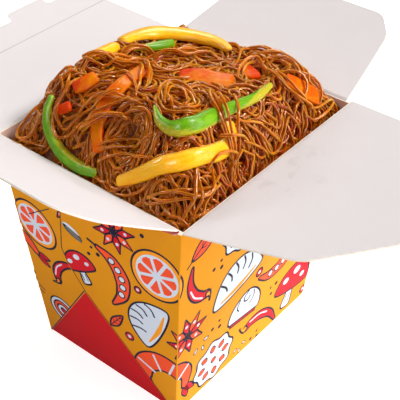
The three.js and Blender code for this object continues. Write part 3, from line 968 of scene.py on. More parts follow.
def prawn(sheet):
    arc = [(10 * math.cos(turn), 9 * math.sin(turn)) for turn in np.radians((-40, 5, 50, 95, 140, 185, 220))]
    fin = loop([(0, 0), (4, 1.9), (8.4, 0), (4, -1.9)], 0.8)
    for turn in (-62, -92):
        sheet.fill(turned(fin, math.radians(turn), 7, -5), CHILLI, 0, 0.8)
    sheet.fill(ribbon(arc, [4.2, 6.4, 8, 9, 9.4, 8.4, 4]), CORAL, 1)
    for degree, inner, outer in ((20, 6.6, 12.6), (60, 5.8, 12.8), (100, 5.2, 13), (140, 5, 13.2)):
        cos, sin = math.cos(math.radians(degree)), 0.9 * math.sin(math.radians(degree))
        sheet.stroke([(inner * cos, inner * sin), (outer * cos, outer * sin)], 0.9, PALE, 2)
    sheet.fill(ellipse(0.9, x=-9.6, y=-2, points=12), DARK, 2, 0)
    for reach in (0, 2.4):
        sheet.stroke([(-8.6, -6.4), (-12 - reach, -9.6), (-12.6 - reach, -13.6)], 0.6, DARK, 0)


def onion_ring(sheet):
    for layer, (size, ink) in enumerate(((9.4, PALE), (7, CORAL), (4.6, PALE), (2.2, CHILLI))):
        sheet.fill(ellipse(size, 0.93 * size, points=36 - 6 * layer), ink, layer, 0.8)


def leaf(sheet):
    sheet.fill(loop([(-10, 0), (-4.6, 3.8), (2, 3.6), (9.6, 0), (2, -3.6), (-4.6, -3.8)]), CORAL)
    sheet.stroke([(-12.6, -0.4), (-4, 0.2), (6.4, 0)], 0.7)
    for x in (-4, 0, 4):
        sheet.stroke([(x, 0), (x + 2, 2)], 0.5)
        sheet.stroke([(x, 0), (x + 2, -2)], 0.5)


def radish(sheet):
    blade = loop([(0, 0), (5, 2.4), (10.6, 0), (5, -2.4)], 0.8)
    for turn in (62, 90, 118):
        sheet.fill(turned(blade, math.radians(turn), 0, 7), YOLK, 0, 0.8)
    sheet.fill(loop([(-6.4, 5.4), (0, 8), (6.4, 5.4), (5.6, -1), (1.8, -7), (0.4, -13), (-1.4, -7),
                     (-5.6, -1)]), CHILLI, 1)
    sheet.stroke([(-3.6, 3), (-3.4, -1.4)], 1.0, PALE, 2)


def dots(sheet):
    for x, y, size in ((-2.4, 0, 0.9), (1.6, 1.8, 0.7), (2.2, -2, 1.0)):
        sheet.fill(ellipse(size, x=x, y=y, points=12), DARK, 0, 0)


def seeds(sheet):
    for x, y, turn in ((-3, 1, 30), (0.6, -1.8, 80), (3.4, 1.6, -20)):
        sheet.fill(turned(ellipse(1.7, 0.9, points=14), math.radians(turn), x, y), PALE, 0, 0.5)


def ring(sheet):
    sheet.fill(ellipse(2.4, points=18), CHILLI, 0, 0.8)
    sheet.fill(ellipse(0.9, points=10), PALE, 1, 0)


def slit(sheet):
    """The narrow cut in a web that a carton's wire or tape would pass through, printed as a thin dark bar of
    painted shade.
    """
    sheet.fill([(-8.4, -0.18), (8.4, -0.18), (8.4, 0.18), (-8.4, 0.18)], DARK, 3, 0)


def thumb_cut(sheet):
    """The finger cut in a web: a dark opening in painted shade, with the cut board's pale edge along its top.
    """
    sheet.fill(ellipse(5.3, 2.0, points=24), DARK, 2, 0)
    sheet.fill(ellipse(4.4, 1.4, 0.6, -0.2, 24), CUT_SHADE, 3, 0)
    sheet.fill(loop([(-5.6, 0.2), (-3.8, 1.9), (0.4, 2.3), (3.4, 1.6), (0.4, 1.1), (-3.4, 0.6)], 0.5),
               PALE, 4, 0)


# What is printed where: shape, along from the panel's middle, up it, turn in degrees, and size.
FRONT_PRINT = [
    (prawn, -50, 17, 20, 1.15), (lotus_slice, -22, 13.2, 10, 0.98), (chilli, 10, 9, 0, 0.95),
    (mushroom, 31, 16, -14, 1.1), (bun, -4, 30.6, -8, 0.95), (anise, -41, 43.6, 12, 0.9),
    (pea_pod, 18, 41.5, 24, 0.95), (citrus_slice, 43, 43, 0, 1.0), (dumpling, -13, 53, 14, 1.1),
    (radish, 14, 61, -24, 0.95), (onion_ring, 33, 65.4, 0, 0.95), (chilli, -37.6, 68, 146, 0.85),
    (lotus_slice, -14, 80, 0, 0.95), (prawn, 44, 86, -40, 0.95), (mushroom, 13, 89, 24, 0.78),
    (leaf, -35, 88, 32, 1.0), (leaf, 48.6, 23.4, 100, 0.6), (bun, 58, 66, 20, 0.9),
    (seeds, -31.6, 29.4, 20, 1.0), (dots, -23, 34, 0, 1.0), (ring, 2.4, 44, 0, 1.0), (ring, 43.6, 58.2, 0, 0.8),
    (dots, 28.6, 78.6, 30, 0.9), (ring, 0, 70, 0, 0.9), (seeds, 0, 94, 0, 1.0), (dots, -27, 69, 0, 1.0),
    (dots, 15, 24.6, 80, 1.0), (ring, -24, 94, 0, 0.8), (seeds, -4, 4, 0, 0.9), (dots, 6.6, 3, 0, 1.0),
    (ring, 42, 4, 0, 1.0),
    (dumpling, -61, 46, 74, 1.0), (citrus_slice, -58.6, 74, 0, 1.05), (pea_pod, -78, 60, 110, 0.95),
    (anise, -79, 84, 20, 0.85), (mushroom, -95, 54.6, 30, 0.75), (chilli, -98.8, 86.4, 40, 0.66),
    (ring, -69, 31, 0, 1.0), (ring, -66.6, 61, 0, 0.8), (dots, -68.6, 92, 0, 1.0), (dots, -89, 67, 50, 1.0),
    (leaf, -75.6, 36, 60, 0.62), (ring, -90, 91.6, 0, 0.8), (thumb_cut, -98.8, 71.6, -24, 1.0),
    (onion_ring, 66, 20, 0, 0.85), (radish, 62, 44, 160, 0.9), (anise, 80, 57, 0, 0.9),
    (dumpling, 76, 82, 30, 0.95), (leaf, 94, 82, 90, 0.7), (pea_pod, 98, 53.6, 70, 0.66),
    (ring, 88, 91, 0, 0.9), (thumb_cut, 98.8, 71.6, 24, 1.0),
]
BACK_PRINT = [
    (dumpling, -30, 16, -16, 1.2), (citrus_slice, 0, 17, 0, 1.1), (radish, 32, 16, 20, 1.0),
    (pea_pod, -14, 40.6, -30, 0.88), (lotus_slice, 14, 44, 0, 1.0), (prawn, 43.4, 43, 60, 1.0),
    (mushroom, -36, 48, 10, 1.0), (chilli, -11, 64, 200, 1.0), (bun, 30, 70, 10, 1.1), (anise, 6, 84, 0, 1.0),
    (onion_ring, -19.6, 84, 0, 1.0), (prawn, -43, 84, 10, 0.9), (leaf, 28, 92, -20, 0.9),
    (ring, -14, 25.4, 0, 1.0), (seeds, 11.4, 67, 0, 1.0), (ring, 44.6, 76.4, 0, 1.0),
    (seeds, 12, 3, 0, 0.9), (dots, -11.4, 3, 0, 1.0), (dots, -26, 34, 0, 1.0), (ring, -8, 95, 0, 0.8),
    (citrus_slice, 57, 63, 0, 0.95), (dumpling, 60, 88, 40, 0.85), (chilli, 67.4, 44.6, 70, 0.75),
    (ring, 74, 66, 0, 0.9), (seeds, 77, 91.4, 0, 0.8), (onion_ring, 57.6, 19.6, 0, 0.8),
    (anise, 78, 79.6, 0, 0.65),
    (lotus_slice, -60, 58.4, 0, 0.85), (chilli, -63, 35.6, 110, 0.72), (leaf, -75, 76, 80, 0.7),
    (mushroom, -66.6, 88, 20, 0.75), (radish, -54, 20, 0, 0.7), (ring, -77, 64, 0, 0.9),
    (dots, -80, 90, 0, 1.0),
    (slit, 62.2, 71.6, 33.4, 1.0), (slit, -62.2, 71.6, -33.4, 1.0),
]
FLAP_PRINT = {
    "lid": [(mushroom, -37, 24, 20, 1.0), (prawn, -8, 20, -30, 1.0), (citrus_slice, 19, 21, 0, 1.0),
            (dumpling, 42, 18, 20, 1.0), (seeds, -24, 8, 0, 1.0), (ring, 4, 36, 0, 1.0),
            (leaf, 35, 35, 10, 0.75), (dots, -22, 36, 0, 1.0), (ring, 30, 6, 0, 0.8)],
    "lid_tuck": [(seeds, -34, 46, 0, 1.0), (leaf, -18, 48, 10, 0.8), (ring, 0, 48, 0, 1.0),
                 (leaf, 18, 48, 170, 0.8), (dots, 34, 47, 0, 1.0)],
    "front_flap": [(chilli, -34, 18, 160, 1.1), (lotus_slice, -4, 18, 0, 1.1), (bun, 28, 20, -10, 1.1),
                   (radish, -20, 45, -30, 1.0), (onion_ring, 8, 46, 0, 1.1), (pea_pod, 30, 42, 20, 0.7),
                   (dots, 12, 33, 0, 1.0), (ring, -36, 36, 0, 1.0), (ring, 44, 12, 0, 1.0),
                   (dots, -48, 8, 0, 1.0)],
}
PANEL = [(-43.2, 0.4), (43.2, 0.4), (50.1, 99.5), (-50.1, 99.5)]
# How far the print on a web starts in from the carton's corner, so that it clears the bevel.
WEB_START = 0.35
WEB_RISE = (99.0, 0.6)
# Printed parts of the webs, as places along an end and up it.
FRONT_WEB = [(-34.1, 0.6), (7.4, 41.5), (14.7, 52.4), (17.2, 59.2), (12.7, 91.2), (-25.5, 94.9), (-41.5, 98.6)]
BACK_WEB = [(34.1, 0.6), (8.0, 41.6), (2.0, 51.0), (2.0, 91.6), (25.5, 94.9), (41.5, 98.6)]


def keep_within(bm, outline):
    """Cuts away what lies outside a convex outline."""
    bmesh.ops.triangulate(bm, faces=bm.faces)
    turn = sum(a[0] * b[1] - b[0] * a[1] for a, b in zip(outline, [*outline[1:], outline[0]]))
    if turn < 0:
        outline = outline[::-1]
    for start, end in zip(outline, [*outline[1:], outline[0]]):
        cut_plane(bm, (*start, 0), (end[1] - start[1], start[0] - end[0], 0), clear_outer=True)


def web_on_sheet(web, side, back):
    """A web's outline on the sheet that it is one with, beyond the panel's corner on one side."""
    outline = []
    for along, rise in web:
        beyond = half_y(rise) - along if back else half_y(rise) + along
        outline.append((side * (half_x(rise) + max(beyond, WEB_START)), rise))
    for rise in WEB_RISE:
        outline.append((side * (half_x(rise) + WEB_START), rise))
    return outline


def wrap(bm, depth):
    """Lays a flat sheet round the front panel and its webs, each point off the board by its own height."""
    for vert in bm.verts:
        along, rise, off = vert.co
        beyond = abs(along) - half_x(rise)
        if beyond < 0:
            vert.co = (along, -half_y(rise) - off, rise)
        else:
            vert.co = (math.copysign(half_x(rise) - depth + off, along), beyond - half_y(rise), rise)


def printed_sheet(motifs, line):
    sheet = Sheet(line)
    for motif in motifs:
        sheet.add(*motif)
    sheet.place = Matrix.Identity(4)
    return sheet


def wall_print(motifs, web, back, line):
    """The print of a panel and of the two webs that are one with it, with a dark line of painted shadow along
    each web's edge.
    """
    sheet = printed_sheet(motifs, line)
    # Painted shadow: a thin dark line along each web's edge, where it lies over the board below.
    for side in (-1, 1):
        edge = web_on_sheet(web, side, back)[:len(web) - 1]
        for start, end in zip(edge, edge[1:]):
            sheet.stroke([start, end], 0.8, DARK, 3)
    whole = bmesh.new()
    for outline in (PANEL, web_on_sheet(web, -1, back), web_on_sheet(web, 1, back)):
        part = sheet.bm.copy()
        keep_within(part, outline)
        wrap(part, BOARD if back else 0.0)
        mesh = bpy.data.meshes.new("part")
        part.to_mesh(mesh)
        part.free()
        whole.from_mesh(mesh)
        bpy.data.meshes.remove(mesh)
    sheet.bm.free()
    if back:
        bmesh.ops.rotate(whole, verts=whole.verts, matrix=Matrix.Rotation(math.pi, 3, "Z"))
    return whole


def flap_print(name, motifs, amount, line):
    """The print on a flap's outer side, bent with it."""
    bm = printed_sheet(motifs, line).bm
    outline = FLAP_OUTLINES[name]
    if name == "lid_tuck":
        outline = mirrored(RIM[0] / 2, [(1.4, 40.5), (3.8, 48), (10.2, 55.4)])
    keep_within(bm, [(0.99 * x, y) for x, y in outline])
    reach = max(y for x, y in FLAP_OUTLINES[name])
    cut_across(bm, reach)
    bmesh.ops.transform(bm, matrix=Matrix.Rotation(math.pi, 4, "Y"), verts=bm.verts)
    bmesh.ops.translate(bm, vec=(0, 0, -BOARD / 2), verts=bm.verts)
    bend_flap(bm, amount, reach)
    bmesh.ops.transform(bm, matrix=flap_frame(name), verts=bm.verts)
    return bm


class NOODLEBOX_OT_print(Operator):
    """Print the kitchen shapes on the carton's panels, webs, lid and front flap"""
    bl_idname = "noodlebox.print"
    bl_label = "Print"

    def execute(self, context):
        settings = context.scene.noodle_print
        inks = [ink_material(f"Ink {name}", getattr(settings, name)) for name in INKS]
        walls = {"front_print": (FRONT_PRINT, FRONT_WEB, False), "back_print": (BACK_PRINT, BACK_WEB, True)}
        for name, (motifs, web, back) in walls.items():
            add_piece(name, wall_print(motifs, web, back, settings.line), inks, "box")
        curl = context.scene.noodle_board.curl / MM
        for name, motifs in FLAP_PRINT.items():
            bm = flap_print(name, motifs, FLAP_CURL[name] * curl, settings.line)
            add_piece(name + "_print", bm, inks, name)
        return {"FINISHED"}


# Noodles


class Tangle:
    """A pile of strands, kept as the height of its top off the heap's surface on a fine grid."""

    CELL = 0.25
    # Cells on each side of a point that a strand there can touch.
    WINDOW = 4
    # The height of what isn't there.
    NOWHERE = -99
    # How far a strand's first and last points sink, in radii.
    END_DIPS = (2.4, 1.5, 0.8, 0.3)

    def __init__(self):
        self.count = np.array([int(2 * size / self.CELL) + 1 for size in FOOD])
        self.pitch = 2 * np.array(FOOD) / (self.count - 1)
        axes = [np.linspace(-size, size, count) for size, count in zip(FOOD, self.count)]
        self.x, self.y = np.meshgrid(*axes, indexing="ij")
        self.slope = np.stack(heap_slope(self.x, self.y))
        self.top = -core_depth(self.x, self.y)
        shift = np.arange(-self.WINDOW, self.WINDOW + 1)
        self.shift = np.stack(np.meshgrid(shift, shift, indexing="ij")).reshape(2, -1)

    def cells(self, points):
        places = np.rint((points + np.array(FOOD)) / self.pitch).astype(int)
        return np.clip(places, 0, self.count - 1)

    def at(self, grid, points):
        places = self.cells(points)
        return grid[places[:, 0], places[:, 1]]

    def window(self, points):
        """The cells round each point, and how far off along the surface they lie."""
        centre = self.cells(points)
        i, j = (np.clip(centre[:, axis, None] + self.shift[axis], 0, self.count[axis] - 1)
                for axis in (0, 1))
        dx, dy = self.x[i, j] - points[:, :1], self.y[i, j] - points[:, 1:]
        slope_x, slope_y = self.slope[:, centre[:, 0], centre[:, 1], None]
        return (i, j), np.sqrt(dx ** 2 + dy ** 2 + (slope_x * dx + slope_y * dy) ** 2)

    def lay(self, path, radius, sink=0.2, stiffness=0.9, arch=0.0):
        """Heights of a strand that rests on what is there, bridges hollows and sinks in at its ends."""
        cells, distance = self.window(path)
        touch = self.top[cells] + np.sqrt(np.clip(radius ** 2 - distance ** 2, 0, None))
        held = np.pad(np.where(distance < radius, touch, self.NOWHERE).max(axis=1), 1, mode="edge")
        peaks = np.lib.stride_tricks.sliding_window_view(held, 3).max(axis=1)
        lifts = smoothed(peaks, stiffness) - sink * radius
        lifts += arch * np.sin(math.pi * np.linspace(0, 1, len(path))) ** 2
        for index, dip in enumerate(self.END_DIPS):
            lifts[index] -= dip * radius
            lifts[-1 - index] -= dip * radius
        return lifts

    def stamp(self, path, lifts, radius):
        """Raises the top of the pile to that of a round strand."""
        fine = np.linspace(0, len(path) - 1, 3 * len(path) - 2)
        whole = np.arange(len(path))
        points = np.stack([np.interp(fine, whole, path[:, axis]) for axis in (0, 1)], axis=1)
        cells, distance = self.window(points)
        rise = np.sqrt(np.clip(radius ** 2 - distance ** 2, 0, None))
        crown = np.interp(fine, whole, lifts)[:, None] + rise
        np.maximum.at(self.top, cells, np.where(distance < radius, crown, self.NOWHERE))

    def near(self, route, reach):
        """How far each cell lies from a route, in units of a reach, 1 where it is further."""
        share = np.ones(self.x.shape)
        for x, y in smooth_route(route, 0.6):
            slope_x, slope_y = (float(value) for value in heap_slope(x, y))
            dx, dy = self.x - x, self.y - y
            off = np.sqrt(dx ** 2 + dy ** 2 + (slope_x * dx + slope_y * dy) ** 2)
            np.minimum(share, off / reach, out=share)
        return share


def smoothed(values, spread):
    """Values blurred along a line, by a spread in steps."""
    reach = int(math.ceil(3 * spread))
    kernel = np.exp(-0.5 * (np.arange(-reach, reach + 1) / spread) ** 2)
    padded = np.pad(values, reach, mode="edge")
    return np.convolve(padded, kernel / kernel.sum(), mode="valid")


# How far a strand turns at each step along the wall that it has run into.
WALL_TURN = 0.5
# A strand keeps one bend over about this length, and the next one mostly bends the same way.
BEND_LENGTH = 14
SAME_WAY = 0.72
# A strand's ends narrow to this share of its radius and are closed by merging what is this near, in metres.
TIP = 0.01
TIP_MERGE = 4e-5


def wander(tangle, start, heading, bends, step, limit):
    """A path in plan that follows a list of bends, steps evenly over the heap and turns along the walls."""
    x, y = start
    path = [(x, y)]
    slopes, pitch, count = tangle.slope, tangle.pitch, tangle.count
    for bend in bends:
        heading += bend * step
        across, along = math.cos(heading), math.sin(heading)
        i = min(max(int((x + FOOD[0]) / pitch[0]), 0), count[0] - 1)
        j = min(max(int((y + FOOD[1]) / pitch[1]), 0), count[1] - 1)
        slope = slopes[0, i, j] * across + slopes[1, i, j] * along
        reach = step / math.sqrt(1 + slope * slope)
        x, y = x + across * reach, y + along * reach
        if abs(x) > limit[0]:
            x = math.copysign(limit[0], x)
            heading += WALL_TURN * math.remainder(math.copysign(math.pi / 2, along) - heading, 2 * math.pi)
        if abs(y) > limit[1]:
            y = math.copysign(limit[1], y)
            target = 0.0 if across > 0 else math.pi
            heading += WALL_TURN * math.remainder(target - heading, 2 * math.pi)
        path.append((x, y))
    return np.array(path)


def bend_sequence(rng, count, step, tight, loose):
    """Slowly changing bends, as one over a radius."""
    anchors = max(3, int(count * step / BEND_LENGTH))
    size = 1 / rng.uniform(tight, loose, anchors)
    sign = np.where(rng.random(anchors) < SAME_WAY, 1, -1) * rng.choice([-1, 1])
    return smoothed(np.interp(np.linspace(0, anchors - 1, count), np.arange(anchors), size * sign), 3)


def strands_mesh(name, strands):
    """One mesh of many round strands; each is (points in mm, radius in mm, tone of each point)."""
    curve = bpy.data.curves.new(name, "CURVE")
    curve.dimensions = "3D"
    curve.bevel_depth = MM
    curve.bevel_resolution = 1
    sizes = []
    for points, radius, tone in strands:
        first, last = 1.5 * points[0] - 0.5 * points[1], 1.5 * points[-1] - 0.5 * points[-2]
        points = np.vstack([first, points, last])
        spline = curve.splines.new("POLY")
        spline.points.add(len(points) - 1)
        spline.points.foreach_set("co", np.hstack([points * MM, np.ones((len(points), 1))]).ravel())
        spline.points.foreach_set("radius", [TIP * radius] + [radius] * (len(points) - 2) + [TIP * radius])
        sizes.append(len(points))
    holder = bpy.data.objects.new(name, curve)
    mesh = bpy.data.meshes.new_from_object(holder)
    bpy.data.objects.remove(holder)
    bpy.data.curves.remove(curve)
    ring = len(mesh.vertices) // sum(sizes)
    if ring * sum(sizes) != len(mesh.vertices):
        raise RuntimeError(f"{name}: {len(mesh.vertices)} vertices do not fit {sum(sizes)} points")
    tones = np.concatenate([np.pad(strand[2], 1, mode="edge") for strand in strands])
    attribute = mesh.attributes.new("tone", "FLOAT", "POINT")
    attribute.data.foreach_set("value", np.repeat(tones, ring).astype(np.float32))
    bm = bmesh.new()
    bm.from_mesh(mesh)
    bm.verts.ensure_lookup_table()
    ends, start = [], 0
    for size in sizes:
        for place in (start, start + size - 1):
            ends += [bm.verts[place * ring + corner] for corner in range(ring)]
        start += size
    bmesh.ops.remove_doubles(bm, verts=ends, dist=TIP_MERGE)
    for face in bm.faces:
        face.smooth = True
    bm.to_mesh(mesh)
    bm.free()
    return mesh


# Vegetables


def strip_sizes(width, thick, lift, roll, cut, widths, route, side=1):
    """A strip in millimetres, its roll in degrees. Along it run its width's shares and how much of its
    paler cut side is turned up, from none to all; side is the edge that the skin starts from."""
    return {"width": width, "thick": thick, "lift": lift, "roll": roll, "cut": cut, "widths": widths,
            "route": route, "side": side}


STRIPS = {
    "green_pepper_1": strip_sizes(4.8, 2.6, 1.3, 8, (0.0, 0.12, 0.26, 0.32, 0.26),
        (0.4, 0.65, 0.85, 0.95, 1, 1, 0.9, 0.6), [(-36.4, 25.4), (-40.2, 25), (-42.6, 22), (-44.4, 17.2),
        (-45.4, 11.6), (-45.7, 4), (-45.2, -4)]),
    "green_pepper_2": strip_sizes(6.4, 3.0, 1.9, -16, (0.6, 0.5, 0.3, 0.2, 0.2, 0.9, 1.3),
        (0.2, 0.5, 0.85, 1, 0.98, 0.85, 0.7, 0.6, 0.56, 0.5, 0.3), [(-28.1, -14), (-31.4, -19.6),
        (-31.4, -25.8), (-26.6, -28.6), (-20.5, -28.9), (-7.7, -29), (5, -29.4), (16.1, -28.2)], side=-1),
    "green_pepper_3": strip_sizes(4.2, 2.6, 1.6, 0, (0.9, 0.5, 0.0), (0.15, 0.4, 0.7, 1, 0.95, 0.7),
        [(-3.1, 21), (6.5, 17.6), (17.4, 14.9)]),
    "yellow_pepper_1": strip_sizes(6.4, 3.0, 1.9, 12, (0.3, 0.2, 0.15, 0.2, 0.1, 0.0),
        (0.6, 0.75, 0.85, 0.95, 1, 1, 1, 1, 0.95, 0.8), [(-44.8, -12.5), (-42.8, -18.4), (-40.2, -24.4),
        (-36.2, -30.4), (-30, -33.6), (-23, -34.8), (-17.2, -34.4), (-14.6, -32.6), (-13.8, -30.2)]),
    "yellow_pepper_2": strip_sizes(7.2, 3.0, 1.9, -10, (0.5, 0.35, 0.3, 0.3, 0.3),
        (0.6, 0.9, 1, 1, 1, 0.95, 0.85, 0.7, 0.35), [(-0.5, 27), (8, 28), (17, 25.4), (23.4, 19.2),
        (27, 12), (28.2, 4), (25.4, -4.4)]),
    "yellow_pepper_3": strip_sizes(5.4, 2.8, 2.0, 0, (0.1, 0.3), (0.5, 0.9, 1, 0.9), [(-18.8, 24.1),
        (-11.4, 25), (-4.6, 25.6)]),
    "carrot_1": strip_sizes(3.6, 2.0, 1.2, 0, (1.0,), (0.8, 1, 0.9), [(-38.8, 20.4), (-37.9, 18.4),
        (-36.7, 16)]),
    "carrot_2": strip_sizes(4.8, 2.2, 1.2, -15, (0.9, 0.2, 0.0), (0.85, 1, 1, 0.9), [(-33.4, 18),
        (-30.9, 15), (-27, 13)]),
    "carrot_3": strip_sizes(5.2, 2.0, 1.7, 10, (0.0, 0.0, 0.0, 0.0, 0.1), (0.9, 1, 1, 1, 0.9, 0.8),
        [(-10.6, 5.4), (-18.2, 4.2), (-27, 2.3), (-35.7, 2.6), (-39.3, 1.1), (-42, -2.5)]),
    "carrot_4": strip_sizes(7.6, 2.2, 1.1, -12, (0.9, 0.4, 0.0, 0.0, 0.0),
        (0.3, 0.75, 0.95, 1, 1, 0.98, 0.95), [(-4.0, -3.2), (1.3, -13.3), (6.4, -22.6)]),
    "carrot_5": strip_sizes(6.4, 2.2, 0.6, 0, (0.4, 0.6), (0.8, 1, 0.9), [(20.4, -12.4), (17.8, -17.8),
        (14.9, -22.9)]),
    "carrot_6": strip_sizes(6.8, 2.2, 1.2, 0, (0.3, 0.0, 0.2), (0.8, 1, 1, 0.9), [(24.4, -28.6),
        (30.5, -33.4), (37.4, -37.6)]),
}
# Distance between a strip's rings, and the share of its width over which its ends close.
STRIP_STEP = 0.6
STRIP_END = 0.22


def strip_shape(strip, sides, square, bow, rng):
    """A strip of vegetable along its route: a grid wrapped round it, closed along its seam and ends.

    Square is 1 for a round section and less for one with corners; bow lowers its two sides.
    """
    centres = over_heap(*smooth_route(strip["route"], 0.7).T, strip["lift"])
    centres = smooth_route(centres[::4] if len(centres) > 16 else centres, STRIP_STEP)
    steps = len(centres) - 1
    ups = over_heap(centres[:, 0], centres[:, 1], 1.0) - over_heap(centres[:, 0], centres[:, 1], 0.0)
    tangents = np.gradient(centres, axis=0)
    tangents /= np.linalg.norm(tangents, axis=1)[:, None]
    across = np.cross(tangents, ups)
    across /= np.linalg.norm(across, axis=1)[:, None]
    outs = np.cross(across, tangents)
    roll = np.radians(strip["roll"] + smoothed(rng.normal(0, 14, steps + 1), 5))[:, None]
    across, outs = (across * np.cos(roll) + outs * np.sin(roll), outs * np.cos(roll) - across * np.sin(roll))
    whole = np.linspace(0, 1, steps + 1)
    taper = np.interp(whole, np.linspace(0, 1, len(strip["widths"])), strip["widths"])
    taper = smoothed(taper, 1.5) + smoothed(rng.normal(0, 0.05, steps + 1), 2)
    cut = np.interp(whole, np.linspace(0, 1, len(strip["cut"])), strip["cut"])
    cut = smoothed(cut + rng.normal(0, 0.04, steps + 1), 1.5)
    from_end = np.minimum(np.arange(steps + 1), np.arange(steps, -1, -1))
    from_end = from_end * STRIP_STEP / (STRIP_END * strip["width"])
    closing = np.sqrt(np.clip(1 - (1 - np.clip(from_end, 0, 1)) ** 2.5, 0, 1))
    bm = bmesh.new()
    bmesh.ops.create_grid(bm, x_segments=sides, y_segments=steps, size=1)
    flesh, along, around, rim = (bm.verts.layers.float.new(label)
                                 for label in ("flesh", "along", "around", "rim"))
    for vert in bm.verts:
        turn = math.pi * (vert.co.x + 0.5)
        vert[along] = STRIP_STEP * (vert.co.y + 1) / 2 * steps * MM
        vert[around] = vert.co.x * strip["width"] * MM
        index = int(round((vert.co.y + 1) / 2 * steps))
        aside = math.copysign(abs(math.cos(turn)) ** square, math.cos(turn))
        rise = math.copysign(abs(math.sin(turn)) ** square, math.sin(turn))
        wide = taper[index] * closing[index] * strip["width"] / 2
        high = min(1.0, 0.35 + 0.75 * taper[index]) * closing[index] * strip["thick"] / 2
        vert.co = Vector(centres[index] + across[index] * aside * wide
                         + outs[index] * (rise * high - bow * taper[index] * closing[index] * aside ** 2))
        side = (1 + strip["side"] * math.cos(turn)) / 2
        # The rim mask, where the pepper's painted sheen goes.
        vert[rim] = 1 - side
        vert[flesh] = min(1.0, max(0.0, 0.5 + (cut[index] - side) * 9)) if rise > -0.3 else 1.0
    bmesh.ops.remove_doubles(bm, verts=bm.verts, dist=0.01)
    bmesh.ops.recalc_face_normals(bm, faces=bm.faces)
    shade_smooth(bm, 70)
    return bm


class NOODLEBOX_OT_peppers(Operator):
    """Lay the strips of green and yellow pepper over the heap"""
    bl_idname = "noodlebox.peppers"
    bl_label = "Pepper strips"

    def execute(self, context):
        settings = context.scene.noodle_vegetables
        finishes = {
            "green": pepper_material("Green pepper", tuple(settings.green), flesh=srgb(178, 166, 10),
                                     tip=srgb(70, 132, 2), painted_sheen=srgb(176, 222, 96)),
            "yellow": pepper_material("Yellow pepper", tuple(settings.yellow), flesh=srgb(238, 166, 26),
                                      tip=srgb(250, 190, 14), painted_sheen=srgb(250, 206, 70)),
        }
        rng = np.random.default_rng(5)
        for name, strip in STRIPS.items():
            kind = name.split("_")[0]
            if kind in finishes:
                shape = strip_shape(strip, sides=28, square=0.62, bow=0.8, rng=rng)
                add_piece(name + "_strip", shape, [finishes[kind]], "box", [name])
        return {"FINISHED"}


class NOODLEBOX_OT_carrots(Operator):
    """Lay the strips of carrot over the heap"""
    bl_idname = "noodlebox.carrots"
    bl_label = "Carrot strips"

    def execute(self, context):
        finish = carrot_material(context.scene.noodle_vegetables)
        rng = np.random.default_rng(8)
        for name, strip in STRIPS.items():
            if name.startswith("carrot"):
                shape = strip_shape(strip, sides=24, square=0.4, bow=0.0, rng=rng)
                add_piece(name + "_strip", shape, [finish], "box", [name])
        return {"FINISHED"}


# Hollows that strands curl round: place, radius of the hollow, its depth, strands in the curl and its radii.
SWIRLS = [
    ((-37.0, -10.0), 7.4, 5.0, 22, (6.0, 14.0)),
    ((-14.6, -37.6), 4.6, 3.0, 12, (3.6, 7.4)),
    ((20.6, -19.6), 4.2, 2.6, 5, (3.4, 5.0)),
    ((-43.5, 33.5), 3.6, 2.4, 6, (2.6, 5.0)),
    ((-35.8, -39.4), 2.8, 2.2, 5, (2.0, 3.6)),
    ((-20.0, -17.0), 3.6, 2.2, 9, (3.0, 7.0)),
]
# Places where the tangle is piled higher: place, radius, and how much.
MOUNDS = [((-1.0, 24.0), 8.0, 2.6)]
CORE_DEPTH = 4.0
# Of a hollow's depth, how much the core follows.
CORE_HOLLOW = 0.7
CORE_GRID = (120, 108)
CORE_LUMP = 0.5
# Distances of the core from the carton's floor and, at the floor, from the outside of its walls.
CORE_FLOOR_GAP = 0.4
CORE_INSET = (2.2, 1.0)


def bowl(centre, radius, x, y):
    """From 1 at the middle of a hollow to 0 at its edge, measured along the heap."""
    slope_x, slope_y = (float(value) for value in heap_slope(*centre))
    dx, dy = x - centre[0], y - centre[1]
    off = (dx ** 2 + dy ** 2 + (slope_x * dx + slope_y * dy) ** 2) / radius ** 2
    return np.clip(1 - off, 0, 1)


def core_depth(x, y):
    """How far the core lies under the heap's surface."""
    depth = np.full(np.shape(x), CORE_DEPTH)
    for centre, radius, hollow, *_ in SWIRLS:
        depth = depth + CORE_HOLLOW * hollow * bowl(centre, radius, x, y)
    return depth


